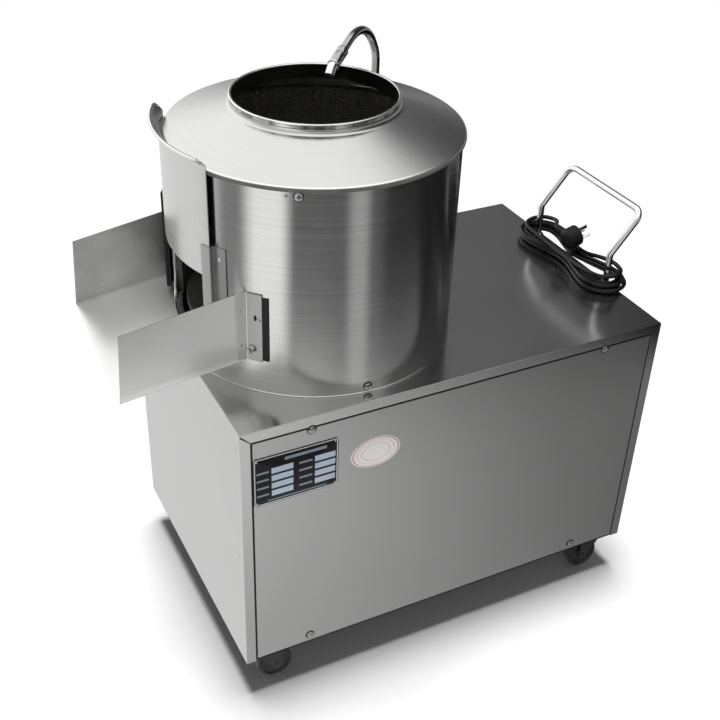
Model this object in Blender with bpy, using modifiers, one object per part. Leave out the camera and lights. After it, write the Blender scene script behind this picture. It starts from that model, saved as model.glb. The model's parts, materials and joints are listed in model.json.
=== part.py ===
"""Potato peeler machine: an abrasive disc in a steel drum, on a cabinet with four swivel casters.

Metres, +Z up. X runs along the cabinet, from the discharge chute at -X to the push handle at +X,
and the front panel faces -Y. The origin is on the floor, under the middle of the machine.
"""

import math

import bmesh
import bpy
from mathutils import Matrix, Vector

# Clearance between neighbours that touch, overrun of cuts, and merge distance
GAP = 0.0003
OVERRUN = 0.01
MERGE = 0.00001

# Cabinet: an inverted U of sheet steel with flanges round the front and back openings
CABINET_LENGTH = 0.657
CABINET_DEPTH = 0.426
CABINET_HEIGHT = 0.410
SHEET = 0.0015
CABINET_BEND = 0.003
SIDE_FLANGE = 0.0145
TOP_FLANGE = 0.0155
PANEL_REVEAL = 0.0015
PANEL_LIFT = 0.004

# Angle-iron frame inside the cabinet
ANGLE_LEG = 0.020
ANGLE_WALL = 0.003
GUSSET_LENGTH = 0.090
GUSSET_DEPTH = 0.064
MID_RAIL_HEIGHT = 0.150

# Plates that carry the drive
DRIVE_PLATE_WALL = 0.005
DRIVE_PLATE_START = -0.180
DRIVE_PLATE_END = 0.185
BEAM_WALL = 0.006
BEAM_WIDTH = 0.140
SHAFT_PASSAGE = 0.020

# Drum, its floor pan and its abrasive lining
DRUM_X = -0.131
DRUM_RADIUS = 0.1925
DRUM_HEIGHT = 0.2935
DRUM_WALL = 0.002
PAN_RIM_HEIGHT = 0.020
LINING_WALL = 0.008
LINING_TOP_GAP = 0.016
PAN_BORE = 0.018

# Abrasive disc on the main shaft
DISC_SIDE_GAP = 0.0062
DISC_RADIUS = DRUM_RADIUS - DRUM_WALL - GAP - LINING_WALL - DISC_SIDE_GAP
DISC_RIM_TOP = 0.055
DISC_RIM_THICKNESS = 0.010
DISC_HUB_RADIUS = 0.034
DISC_HUB_BOTTOM = 0.026
WAVE_COUNT = 3
WAVE_HEIGHT = 0.007
CAP_NUT_RADIUS = 0.019
CAP_NUT_HEIGHT = 0.014
CAP_NUT_DOME = 0.010
CAP_NUT_SHARES = ((0.5, 0.85), (0.85, 0.4))
SEAL_RADIUS = 0.030
SEAL_HEIGHT = 0.012
SEAL_CROWN = 0.018

# Drain pipe under the pan
DRAIN_X = -0.120
DRAIN_Y = 0.086
DRAIN_RADIUS = 0.018
DRAIN_WALL = 0.002
DRAIN_FLANGE = 0.026
DRAIN_FLANGE_THICKNESS = 0.0015
DRAIN_TAIL = 0.020

# Lid: a shallow cone with a turned-down rim, an inner skirt and a polished collar round the mouth
LID_RADIUS = 0.1965
LID_RIM_HEIGHT = 0.006
LID_RISE = 0.0305
LID_SKIRT_HEIGHT = 0.012
MOUTH_RADIUS = 0.1064
COLLAR_HEIGHT = 0.0125
COLLAR_TUCK = 0.008
COLLAR_BEAD = 0.0022
COLLAR_BEAD_HEIGHT = 0.0035

# Discharge side: turned a little from the cabinet's long axis, measured from -X about the drum's axis
DISCHARGE_TURN = math.radians(-3.0)
OPENING_HALF_WIDTH = 0.078
OPENING_BOTTOM = 0.041
OPENING_TOP = 0.180

# Sliding gate with a flared lip, half raised at rest
GATE_STANDOFF = 0.0053
GATE_WALL = 0.0015
GATE_HALF_ANGLE = math.radians(28.3)
GATE_HEIGHT = 0.150
GATE_SHUT_BOTTOM = 0.047
GATE_REST_LIFT = 0.105
GATE_LIP = 0.014
GATE_LIP_ANGLE = math.radians(45.0)

# Gate guides: a base strip on the drum, a spacer behind the gate's edge and a strip over it
GUIDE_BOTTOM = 0.046
GUIDE_TOP = 0.196
GUIDE_COVER_ANGLE = math.radians(4.4)
GUIDE_SPACER_ANGLE = math.radians(2.2)
GUIDE_BASE_ANGLE = math.radians(5.6)
GUIDE_SHEET = 0.0015

# Chute: an open U of sheet that falls away from the drum
CHUTE_REACH = 0.309
CHUTE_HALF_WIDTH = 0.130
CHUTE_END_FLOOR = 0.018
CHUTE_SLOPE = 0.17
CHUTE_END_HEIGHT = 0.098
CHUTE_TOP_SLOPE = 0.19
CHUTE_END_LEAN = 0.0055
CHUTE_SHEET = 0.0015
BRACKET_SHEET = 0.002
BRACKET_LEG = 0.014
BRACKET_STRIP_ANGLE = math.radians(6.6)
BRACKET_BOTTOM = 0.048
BRACKET_TOP = 0.146

# Spray pipe: rises behind the drum, bends over the lid and ends in a nozzle over the mouth
PIPE_ANGLE = math.radians(40.7)
PIPE_RADIUS = 0.005
PIPE_STANDOFF = 0.0155
PIPE_TAIL = 0.015
PIPE_BENDS = (0.040, 0.075)
PIPE_RISER_TOP = 0.327
PIPE_BEND_IN = 0.049
PIPE_BEND_TOP = 0.3905
PIPE_END_REACH = 0.059
PIPE_END_TOP = 0.356
BULKHEAD_RADIUS = 0.013
BULKHEAD_HEIGHT = 0.007
SLEEVE_RADIUS = 0.0068
SLEEVE_LENGTH = 0.031
SLEEVE_SOCKET = 0.014
NOZZLE_RADIUS = 0.0065
NOZZLE_LENGTH = 0.011
NOZZLE_DROP = math.radians(48.0)
NOZZLE_SHANK = 0.008
NOZZLE_SHANK_RADIUS = 0.004
CLIP_HEIGHT = 0.190
CLIP_WIDTH = 0.012
CLIP_WALL = 0.003
CLIP_FOOT_ANGLE = math.radians(6.0)

# Water inlet inside the cabinet and its hose tail on the +X end
INLET_RISE = 0.0727
INLET_BEND = 0.045
INLET_RADIUS = 0.0085
LOCK_NUT_LENGTH = 0.005
HOSE_TAIL_RADIUS = 0.009
HOSE_NUT_RADIUS = 0.014
HOSE_NUT_LENGTH = 0.008
HOSE_TAIL_LENGTH = 0.034
HOSE_BARB_RADIUS = 0.0075
HOSE_BARB_SHARE = 0.6
HOSE_SPIGOT_RADIUS = 0.0048
HOSE_SPIGOT_LENGTH = 0.018
HOSE_BORE = 0.003
GROOVE = 0.0015

# Main shaft and its two flange bearings
SHAFT_RADIUS = 0.0125
SPIGOT_RADIUS = 0.010
SHAFT_BOTTOM = 0.112
BEARING_RADIUS = 0.026
BEARING_WIDTH = 0.015
HOUSING_FLANGE_RADIUS = 0.050
HOUSING_FLANGE = 0.008
HOUSING_HUB_RADIUS = 0.034
HOUSING_HUB = 0.019
HOUSING_LIP_RADIUS = 0.016

# Belt drive
BELT_HEIGHT = 0.010
BELT_THICKNESS = 0.008
MAIN_PITCH_RADIUS = 0.090
MOTOR_PITCH_RADIUS = 0.024
PULLEY_WIDTH = 0.020
PULLEY_BOTTOM = 0.120
GROOVE_SHARE = 0.5
PULLEY_WEB = 0.007
PULLEY_RIM = 0.008
MAIN_HUB_RADIUS = 0.024
BELT_STEPS = 18

# Motor, standing on the drive plate with its shaft down
MOTOR_X = 0.095
MOTOR_SHAFT_RADIUS = 0.0095
MOTOR_SHAFT_ENTRY = 0.055
MOTOR_FLANGE_RADIUS = 0.072
MOTOR_FLANGE = 0.010
MOTOR_RADIUS = 0.062
MOTOR_HEADROOM = 0.0384
FAN_COVER_RADIUS = 0.064
FAN_COVER_LENGTH = 0.036
FAN_COVER_DOME = 0.010
TERMINAL_BOX_WIDTH = 0.070
TERMINAL_BOX_DEPTH = 0.032
TERMINAL_BOX_HEIGHT = 0.072
TERMINAL_BOX_RISE_SHARE = 0.418

# Push handle: one bent rod with welded feet, which also holds the wound cord
HANDLE_X = 0.318
HANDLE_HALF_SPAN = 0.0906
ROD_RADIUS = 0.005
HANDLE_BEND_HEIGHT = 0.053
HANDLE_GRIP_X = 0.3665
HANDLE_GRIP_HEIGHT = 0.114
HANDLE_BEND_RADIUS = 0.012
HANDLE_CORNER_RADIUS = 0.017
FOOT_RADIUS = 0.009
FOOT_HEIGHT = 0.004

# Casters
CASTER_HEIGHT = 0.067
CASTER_END_INSET = 0.0385
CASTER_SIDE_INSET = 0.027
CASTER_X = CABINET_LENGTH / 2 - CASTER_END_INSET
CASTER_Y = CABINET_DEPTH / 2 - CASTER_SIDE_INSET
CASTER_PLATE = 0.046
CASTER_PLATE_WALL = 0.0025
CASTER_RACE_RADIUS = 0.0145
CASTER_RACE = 0.002
CASTER_TRAIL = 0.014
WHEEL_RADIUS = 0.028
WHEEL_WIDTH = 0.020
WHEEL_FACETS = 24
TYRE_ROUNDING = 0.004
AXLE_RADIUS = 0.003
FORK_WALL = 0.0018
FORK_CROWN = 0.0025
FORK_SIDE_GAP = 0.0012
FORK_LEG_WIDTH = 0.016
FORK_CROWN_FRONT = 0.015
KINGPIN_RADIUS = 0.0045

# Nameplate, left bare
NAMEPLATE_LENGTH = 0.120
NAMEPLATE_HEIGHT = 0.078
NAMEPLATE_WALL = 0.0006
NAMEPLATE_LEFT = 0.0168
NAMEPLATE_DROP = 0.0435

# Switch on the +X end
SWITCH_Y = 0.082
SWITCH_DROP = 0.1773
SWITCH_BEZEL_WIDTH = 0.034
SWITCH_BEZEL_HEIGHT = 0.046
SWITCH_BEZEL_WALL = 0.003
SWITCH_BODY_WIDTH = 0.024
SWITCH_BODY_HEIGHT = 0.034
SWITCH_BODY_DEPTH = 0.022
ROCKER_WIDTH = 0.018
ROCKER_HEIGHT = 0.026
ROCKER_DEPTH = 0.006
ROCKER_PROUD = 0.0035
ROCKER_SIDE_GAP = 0.0008
ROCKER_END_GAP = 0.0012
ROCKER_WELL = 0.009
ROCKER_TILT = math.radians(8.0)

# Mains cord, its gland on the +X end and its plug
CORD_RADIUS = 0.00325
GLAND_DROP = 0.1513
GLAND_NUT_RADIUS = 0.010
GLAND_NUT_LENGTH = 0.008
GLAND_TAPER_LENGTH = 0.020
GLAND_TIP_RADIUS = 0.0048
GLAND_SPIGOT_RADIUS = 0.007
LEAD_BEND = 0.0275
LEAD_RISE = 0.046
LEAD_RUN = 0.008
LEAD_STEPS = 6
LEAD_SHARE = 0.08
GLAND_Y = LEAD_RUN + LEAD_BEND
CORD_SPACING = 0.010
HANK_TURNS = 4
HANK_RUN_POINTS = 8
HANK_CAP_POINTS = 4
HANK_CLIMB = 0.5
HANK_END_CENTRE = 0.0810
HANK_END_RADIUS = 0.0210
HANK_WAIST = 0.0050
HANK_PITCH = 0.0076
HANK_LAYER = 0.0073
HANK_CLEARANCE = 0.0005
TAIL_KNOTS = (
    (0.0205, -0.006, 0.0114),
    (0.0222, -0.017, 0.0125),
    (0.0260, -0.034, 0.0160),
    (0.0275, -0.052, 0.0200),
    (0.0265, -0.069, 0.0235),
    (0.0235, -0.085, 0.0255),
    (0.0166, -0.1016, 0.0260),
    (0.0, -0.1085, 0.0255),
    (-0.0166, -0.1016, 0.0245),
    (-0.0235, -0.085, 0.0230),
    (-0.0240, -0.045, 0.0195),
    (-0.0240, 0.0, 0.0190),
    (-0.0240, 0.045, 0.0190),
    (-0.0235, 0.085, 0.0195),
    (-0.0166, 0.1016, 0.0205),
    (0.0, 0.1085, 0.0220),
    (0.0166, 0.1016, 0.0240),
    (0.0235, 0.085, 0.0265),
    (0.0210, 0.0725, 0.0288),
    (0.0130, 0.0628, 0.0308),
    (0.0050, 0.0533, 0.0328),
)
PLUG_X = 0.320
PLUG_Y = 0.008
PLUG_RADIUS = 0.0165
PLUG_LENGTH = 0.025
PLUG_TILT = math.radians(14.0)
PLUG_NECK_LENGTH = 0.017
PLUG_NECK_RADIUS = 0.0065
PLUG_NECK_BORE = 0.006
PIN_LENGTH = 0.018
PIN_WIDTH = 0.0062
PIN_WALL = 0.0018
PIN_SPREAD = 0.0075

# Facets of the round pieces
DRUM_STEPS = 60
DISC_STEPS = 48
COLLAR_STEPS = 30
SMALL_STEPS = 24
TINY_STEPS = 12

# Places worked out from the sizes above
CHUTE_TURN_IN = CHUTE_HALF_WIDTH * abs(math.sin(DISCHARGE_TURN))
CHUTE_END_X = DRUM_X - CHUTE_REACH * math.cos(DISCHARGE_TURN) - CHUTE_TURN_IN
CABINET_X = -(CHUTE_END_X + HANDLE_GRIP_X + ROD_RADIUS) / 2
FLOOR_OF_CABINET = CASTER_HEIGHT + GAP
CABINET_TOP = FLOOR_OF_CABINET + CABINET_HEIGHT
END_FACE = CABINET_LENGTH / 2
FRONT_FACE = CABINET_DEPTH / 2
FRAME_X = END_FACE - SHEET - GAP
FRAME_Y = FRONT_FACE - SHEET - GAP
FRAME_BOTTOM = FLOOR_OF_CABINET
FRAME_TOP = CABINET_TOP - SHEET - GAP
BEAM_TOP = FRAME_TOP - ANGLE_WALL - GAP
DRIVE_PLATE_TOP = FLOOR_OF_CABINET + MID_RAIL_HEIGHT + ANGLE_LEG
MOTOR_LOW = DRIVE_PLATE_TOP + GAP
FAN_COVER_LOW = CABINET_TOP - MOTOR_HEADROOM - FAN_COVER_LENGTH
MOTOR_LENGTH = FAN_COVER_LOW - GAP - MOTOR_FLANGE - MOTOR_LOW
SWITCH_Z = CABINET_TOP - SWITCH_DROP
GLAND_Z = CABINET_TOP - GLAND_DROP
INLET_HEIGHT = DRIVE_PLATE_TOP + INLET_RISE
PAN_TOP = GAP + SHEET
DISC_HUB_TOP = DISC_RIM_TOP + WAVE_HEIGHT
GATE_INNER = DRUM_RADIUS + GATE_STANDOFF
GATE_OUTER = GATE_INNER + GATE_WALL
PIPE_REACH = DRUM_RADIUS + PIPE_STANDOFF
PIPE_CORNERS = (
    (PIPE_REACH, -SHEET - PIPE_TAIL),
    (PIPE_REACH, PIPE_RISER_TOP),
    (PIPE_REACH - PIPE_BEND_IN, PIPE_BEND_TOP),
    (PIPE_END_REACH, PIPE_END_TOP),
)
AXLE_HEIGHT = WHEEL_RADIUS * math.cos(math.pi / WHEEL_FACETS)


def fresh_scene():
    """Removes every object and opens one collection for the parts and one for the cutters."""
    for obj in list(bpy.data.objects):
        bpy.data.objects.remove(obj)
    parts = bpy.data.collections.new("potato_peeler_machine")
    cutters = bpy.data.collections.new("cutters")
    for collection in (parts, cutters):
        bpy.context.scene.collection.children.link(collection)
    cutters.hide_render = True
    return parts, cutters


PARTS, CUTTERS = fresh_scene()


def finish(name, colour, roughness, metallic=0.0):
    """One Principled material."""
    made = bpy.data.materials.new(name)
    made.use_nodes = True
    shader = made.node_tree.nodes["Principled BSDF"]
    shader.inputs["Base Color"].default_value = (*colour, 1.0)
    shader.inputs["Roughness"].default_value = roughness
    shader.inputs["Metallic"].default_value = metallic
    return made


BRUSHED = finish("brushed stainless", (0.60, 0.60, 0.59), 0.32, 1.0)
POLISHED = finish("polished stainless", (0.72, 0.72, 0.71), 0.12, 1.0)
GALVANISED = finish("galvanised steel", (0.45, 0.46, 0.47), 0.5, 0.9)
CHROME = finish("chrome", (0.80, 0.80, 0.80), 0.06, 1.0)
CAST = finish("cast iron", (0.12, 0.13, 0.14), 0.6, 0.6)
PAINTED = finish("motor paint", (0.10, 0.16, 0.22), 0.45)
ABRASIVE = finish("abrasive grit", (0.035, 0.035, 0.035), 0.95)
BLACK_RUBBER = finish("black rubber", (0.02, 0.02, 0.02), 0.7)
BLACK_PLASTIC = finish("black plastic", (0.025, 0.025, 0.027), 0.4)
BLACK_PLATE = finish("black plate", (0.02, 0.02, 0.022), 0.35)
RED_PLASTIC = finish("red plastic", (0.50, 0.03, 0.02), 0.3)


def empty(name, location, parent=None, turn=0.0):
    """An empty that carries the pieces of one axis."""
    made = bpy.data.objects.new(name, None)
    made.location = location
    made.rotation_euler = (0.0, 0.0, turn)
    made.parent = parent
    PARTS.objects.link(made)
    return made


def place(obj, material, parent, location=(0.0, 0.0, 0.0), rotation=(0.0, 0.0, 0.0)):
    """Puts a new object in the parts' collection, under its parent."""
    obj.data.materials.append(material)
    obj.parent = parent
    obj.location = location
    obj.rotation_euler = rotation
    PARTS.objects.link(obj)
    return obj


def to_object(name, shape):
    """Turns a bmesh into an object that is shaded smooth up to a sharp edge."""
    mesh = bpy.data.meshes.new(name)
    shape.to_mesh(mesh)
    shape.free()
    mesh.shade_smooth()
    mesh.set_sharp_from_angle(angle=math.radians(35.0))
    return bpy.data.objects.new(name, mesh)


def block(name, low, high):
    """A box between two corners."""
    shape = bmesh.new()
    bmesh.ops.create_cube(shape, size=1.0)
    size = Vector(high) - Vector(low)
    middle = (Vector(high) + Vector(low)) / 2
    bmesh.ops.transform(shape, matrix=Matrix.Translation(middle) @ Matrix.Diagonal((*size, 1.0)), verts=shape.verts)
    return to_object(name, shape)


def bar(name, radius, low, high, centre=(0.0, 0.0), steps=SMALL_STEPS):
    """A solid cylinder that stands between two heights."""
    shape = bmesh.new()
    bmesh.ops.create_cone(shape, cap_ends=True, segments=steps, radius1=radius, radius2=radius, depth=high - low)
    bmesh.ops.translate(shape, vec=(*centre, (high + low) / 2), verts=shape.verts)
    return to_object(name, shape)


def turned(name, profile, steps, closed=True):
    """A profile of (radius, height) points turned about Z. It runs down its outer side."""
    mesh = bpy.data.meshes.new(name)
    count = len(profile)
    edges = [(i, i + 1) for i in range(count - 1)]
    if closed:
        edges.append((count - 1, 0))
    mesh.from_pydata([(r, 0.0, z) for r, z in profile], edges, [])
    obj = bpy.data.objects.new(name, mesh)
    screw = obj.modifiers.new("turn", "SCREW")
    screw.steps = steps
    screw.render_steps = steps
    screw.use_merge_vertices = True
    screw.merge_threshold = MERGE
    screw.use_smooth_shade = True
    return obj


def outlined(name, outline, low, high):
    """A flat outline of (x, y) points, filled and given its height by a 2D curve, as a mesh."""
    curve = bpy.data.curves.new(name, "CURVE")
    curve.dimensions = "2D"
    curve.fill_mode = "BOTH"
    curve.extrude = (high - low) / 2
    spline = curve.splines.new("POLY")
    spline.points.add(len(outline) - 1)
    for point, (x, y) in zip(spline.points, outline):
        point.co = (x, y, 0.0, 1.0)
    spline.use_cyclic_u = True
    return curve_as_mesh(name, curve, Matrix.Translation((0.0, 0.0, (high + low) / 2)))


def curve_as_mesh(name, curve, move):
    """Makes a curve a mesh object, with its caps welded to its sides."""
    guide = bpy.data.objects.new(name + "_guide", curve)
    bpy.context.scene.collection.objects.link(guide)
    graph = bpy.context.evaluated_depsgraph_get()
    mesh = bpy.data.meshes.new_from_object(guide.evaluated_get(graph))
    bpy.data.objects.remove(guide)
    shape = bmesh.new()
    shape.from_mesh(mesh)
    bmesh.ops.remove_doubles(shape, verts=shape.verts, dist=MERGE)
    bmesh.ops.transform(shape, matrix=move, verts=shape.verts)
    bmesh.ops.recalc_face_normals(shape, faces=shape.faces)
    bpy.data.meshes.remove(mesh)
    return to_object(name, shape)


def tube_curve(name, points, radius, resolution):
    """A round tube along a list of points, with filled caps."""
    curve = bpy.data.curves.new(name, "CURVE")
    curve.dimensions = "3D"
    curve.bevel_depth = radius
    curve.bevel_resolution = resolution
    curve.use_fill_caps = True
    spline = curve.splines.new("POLY")
    spline.points.add(len(points) - 1)
    for point, place_of in zip(spline.points, points):
        point.co = (*place_of, 1.0)
    spline.use_smooth = True
    return curve


def tube(name, points, radius, resolution=2):
    """The tube as a curve object."""
    return bpy.data.objects.new(name, tube_curve(name, points, radius, resolution))


def tube_mesh(name, points, radius, resolution=2):
    """The tube as a mesh object, for a piece that is cut or joined."""
    return curve_as_mesh(name, tube_curve(name, points, radius, resolution), Matrix.Identity(4))


def combine(obj, other, operation):
    """Cuts or joins another object into this one. The other one stays as a helper."""
    CUTTERS.objects.link(other)
    other.display_type = "WIRE"
    other.hide_render = True
    modifier = obj.modifiers.new(operation.lower(), "BOOLEAN")
    modifier.operation = operation
    modifier.solver = "EXACT"
    modifier.object = other
    return obj


def cut(obj, cutter, parent=None):
    """Takes the cutter out of the object."""
    cutter.parent = parent
    return combine(obj, cutter, "DIFFERENCE")


def join(obj, other, parent=None):
    """Fuses the other body to the object."""
    other.parent = parent
    return combine(obj, other, "UNION")


def arc(radius, start, end, steps):
    """Points on a circle about the origin, from one angle to another."""
    return [
        (radius * math.cos(start + (end - start) * i / steps), radius * math.sin(start + (end - start) * i / steps))
        for i in range(steps + 1)
    ]


def filleted(corners, radii, steps):
    """The path through the corners, with each inner corner rounded to its radius."""
    points = [Vector(corners[0])]
    for before, corner, after, radius in zip(corners, corners[1:], corners[2:], radii):
        corner = Vector(corner)
        back = (Vector(before) - corner).normalized()
        ahead = (Vector(after) - corner).normalized()
        half = back.angle(ahead) / 2
        centre = corner + (back + ahead).normalized() * (radius / math.sin(half))
        first = corner + back * (radius / math.tan(half))
        last = corner + ahead * (radius / math.tan(half))
        for i in range(steps + 1):
            spoke = (first - centre).lerp(last - centre, i / steps).normalized()
            points.append(centre + spoke * radius)
    points.append(Vector(corners[-1]))
    return points


def smooth_route(points, spacing):
    """Even points on a Catmull-Rom curve through the route's own points."""
    knots = [Vector(p) for p in points]
    ends = [knots[0] * 2 - knots[1]] + knots + [knots[-1] * 2 - knots[-2]]
    fine = []
    for a, b, c, d in zip(ends, ends[1:], ends[2:], ends[3:]):
        for i in range(20):
            t = i / 20
            fine.append(
                (b * 2 + (c - a) * t + (a * 2 - b * 5 + c * 4 - d) * t**2 + (b * 3 - a - c * 3 + d) * t**3) / 2
            )
    fine.append(knots[-1])
    lengths = [0.0]
    for p, q in zip(fine, fine[1:]):
        lengths.append(lengths[-1] + (q - p).length)
    count = max(2, round(lengths[-1] / spacing))
    route = []
    index = 0
    for k in range(count + 1):
        wanted = lengths[-1] * k / count
        while index < len(lengths) - 2 and lengths[index + 1] < wanted:
            index += 1
        share = (wanted - lengths[index]) / (lengths[index + 1] - lengths[index])
        route.append(fine[index].lerp(fine[index + 1], min(1.0, share)))
    return route


MACHINE = empty("machine", (CABINET_X, 0.0, 0.0))
DRUM_AXIS = empty("drum_axis", (DRUM_X, 0.0, CABINET_TOP), MACHINE)
DISCHARGE = empty("discharge_side", (0.0, 0.0, 0.0), DRUM_AXIS, math.pi + DISCHARGE_TURN)
MAIN_AXIS = empty("main_axis", (DRUM_X, 0.0, 0.0), MACHINE)
MOTOR_AXIS = empty("motor_axis", (MOTOR_X, 0.0, 0.0), MACHINE)
PIPE_PLANE = empty("pipe_plane", (0.0, 0.0, 0.0), DRUM_AXIS, PIPE_ANGLE)


def pipe_foot():
    """Where the spray pipe passes the top sheet, from the cabinet's middle."""
    return DRUM_X + PIPE_REACH * math.cos(PIPE_ANGLE), PIPE_REACH * math.sin(PIPE_ANGLE)


def cabinet():
    """Shell, front panel, back panel and nameplate."""
    shell = block(
        "cabinet_shell", (-END_FACE, -FRONT_FACE, FLOOR_OF_CABINET), (END_FACE, FRONT_FACE, CABINET_TOP)
    )
    shape = bmesh.new()
    shape.from_mesh(shell.data)
    bends = [
        edge
        for edge in shape.edges
        if abs(edge.verts[0].co.x - edge.verts[1].co.x) < MERGE
        and abs(edge.verts[0].co.z - edge.verts[1].co.z) < MERGE
        and edge.verts[0].co.z > FLOOR_OF_CABINET + CABINET_HEIGHT / 2
    ]
    bmesh.ops.bevel(shape, geom=bends, offset=CABINET_BEND, segments=3, profile=0.5, affect="EDGES")
    shape.to_mesh(shell.data)
    shape.free()
    place(shell, BRUSHED, MACHINE)
    below = FLOOR_OF_CABINET - OVERRUN
    cut(
        shell,
        block(
            "shell_hollow",
            (-END_FACE + SHEET, -FRONT_FACE + SHEET, below),
            (END_FACE - SHEET, FRONT_FACE - SHEET, CABINET_TOP - SHEET),
        ),
        MACHINE,
    )
    window_x = END_FACE - SIDE_FLANGE
    cut(
        shell,
        block(
            "shell_window",
            (-window_x, -FRONT_FACE - OVERRUN, below),
            (window_x, FRONT_FACE + OVERRUN, CABINET_TOP - TOP_FLANGE),
        ),
        MACHINE,
    )
    top_low, top_high = CABINET_TOP - SHEET - OVERRUN, CABINET_TOP + OVERRUN
    holes = (
        ("shaft_hole", HOUSING_LIP_RADIUS + ANGLE_WALL, (DRUM_X, 0.0)),
        ("drain_hole", DRAIN_RADIUS + GAP, (DRUM_X + DRAIN_X, DRAIN_Y)),
        ("pipe_hole", PIPE_RADIUS + GAP, pipe_foot()),
    )
    for name, radius, centre in holes:
        cut(shell, bar(name, radius, top_low, top_high, centre), MACHINE)
    end_low, end_high = END_FACE - OVERRUN, END_FACE + OVERRUN
    cut(
        shell,
        block(
            "switch_hole",
            (end_low, SWITCH_Y - SWITCH_BODY_WIDTH / 2 - GAP, SWITCH_Z - SWITCH_BODY_HEIGHT / 2 - GAP),
            (end_high, SWITCH_Y + SWITCH_BODY_WIDTH / 2 + GAP, SWITCH_Z + SWITCH_BODY_HEIGHT / 2 + GAP),
        ),
        MACHINE,
    )
    across = (
        ("gland_hole", GLAND_SPIGOT_RADIUS + GAP, GLAND_Y, GLAND_Z),
        ("inlet_hole", HOSE_TAIL_RADIUS + GAP, pipe_foot()[1], INLET_HEIGHT),
    )
    for name, radius, y, z in across:
        hole = bar(name, radius, -OVERRUN, OVERRUN, steps=TINY_STEPS)
        cut(shell, hole, MACHINE)
        hole.location = (END_FACE, y, z)
        hole.rotation_euler = (0.0, math.pi / 2, 0.0)

    panel_x = window_x - PANEL_REVEAL
    panel_low = FLOOR_OF_CABINET + PANEL_LIFT
    panel_high = CABINET_TOP - TOP_FLANGE - PANEL_REVEAL
    for name, side in (("front_panel", -1), ("back_panel", 1)):
        outer, inner = side * FRONT_FACE, side * (FRONT_FACE - SHEET)
        low_y, high_y = min(outer, inner), max(outer, inner)
        place(block(name, (-panel_x, low_y, panel_low), (panel_x, high_y, panel_high)), BRUSHED, MACHINE)

    plate_left = -END_FACE + NAMEPLATE_LEFT
    plate_back = -FRONT_FACE - GAP
    plate_low = CABINET_TOP - NAMEPLATE_DROP - NAMEPLATE_HEIGHT
    plate = block(
        "nameplate",
        (plate_left, plate_back - NAMEPLATE_WALL, plate_low),
        (plate_left + NAMEPLATE_LENGTH, plate_back, plate_low + NAMEPLATE_HEIGHT),
    )
    place(plate, BLACK_PLATE, MACHINE)


def frame():
    """Angle-iron frame: a thin box whose faces are windows, so that an angle is left along each edge."""
    body = block("base_frame", (-FRAME_X, -FRAME_Y, FRAME_BOTTOM), (FRAME_X, FRAME_Y, FRAME_TOP))
    place(body, GALVANISED, MACHINE)
    inner_x, inner_y = FRAME_X - ANGLE_WALL, FRAME_Y - ANGLE_WALL
    open_x, open_y = FRAME_X - ANGLE_LEG, FRAME_Y - ANGLE_LEG
    low, high = FRAME_BOTTOM + ANGLE_LEG, FRAME_TOP - ANGLE_LEG
    mid_low = FLOOR_OF_CABINET + MID_RAIL_HEIGHT
    mid_high = mid_low + ANGLE_LEG
    out_x, out_y = FRAME_X + OVERRUN, FRAME_Y + OVERRUN
    middle = (FRAME_BOTTOM + FRAME_TOP) / 2
    windows = (
        ("frame_hollow", (-inner_x, -inner_y, FRAME_BOTTOM + ANGLE_WALL), (inner_x, inner_y, FRAME_TOP - ANGLE_WALL)),
        ("frame_ends", (-out_x, -open_y, low), (out_x, open_y, high)),
        ("frame_low_sides", (-open_x, -out_y, low), (open_x, out_y, mid_low)),
        ("frame_high_sides", (-open_x, -out_y, mid_high), (open_x, out_y, high)),
        ("frame_top", (-open_x, -open_y, middle), (open_x, open_y, FRAME_TOP + OVERRUN)),
        (
            "frame_bottom_long",
            (-open_x, GUSSET_DEPTH - FRAME_Y, FRAME_BOTTOM - OVERRUN),
            (open_x, FRAME_Y - GUSSET_DEPTH, middle),
        ),
        (
            "frame_bottom_wide",
            (GUSSET_LENGTH - FRAME_X, -open_y, FRAME_BOTTOM - OVERRUN),
            (FRAME_X - GUSSET_LENGTH, open_y, middle),
        ),
    )
    for name, corner_low, corner_high in windows:
        cut(body, block(name, corner_low, corner_high), MACHINE)

    inside = FRAME_Y - ANGLE_WALL - GAP
    plate = block(
        "drive_plate", (DRIVE_PLATE_START, -inside, mid_low), (DRIVE_PLATE_END, inside, DRIVE_PLATE_TOP)
    )
    place(plate, GALVANISED, MACHINE)
    cut(
        plate,
        block(
            "drive_plate_hollow",
            (DRIVE_PLATE_START - OVERRUN, -inside + DRIVE_PLATE_WALL, mid_low - OVERRUN),
            (DRIVE_PLATE_END + OVERRUN, inside - DRIVE_PLATE_WALL, DRIVE_PLATE_TOP - DRIVE_PLATE_WALL),
        ),
        MACHINE,
    )
    plate_low = DRIVE_PLATE_TOP - DRIVE_PLATE_WALL - OVERRUN
    plate_high = DRIVE_PLATE_TOP + OVERRUN
    for name, x in (("main_passage", DRUM_X), ("motor_passage", MOTOR_X)):
        cut(plate, bar(name, SHAFT_PASSAGE, plate_low, plate_high, (x, 0.0)), MACHINE)

    beam = block(
        "bearing_beam",
        (DRUM_X - BEAM_WIDTH / 2, -inside, BEAM_TOP - BEAM_WALL),
        (DRUM_X + BEAM_WIDTH / 2, inside, BEAM_TOP),
    )
    place(beam, GALVANISED, MACHINE)
    cut(
        beam,
        bar("beam_passage", SHAFT_PASSAGE, BEAM_TOP - BEAM_WALL - OVERRUN, BEAM_TOP + OVERRUN, (DRUM_X, 0.0)),
        MACHINE,
    )


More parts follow.
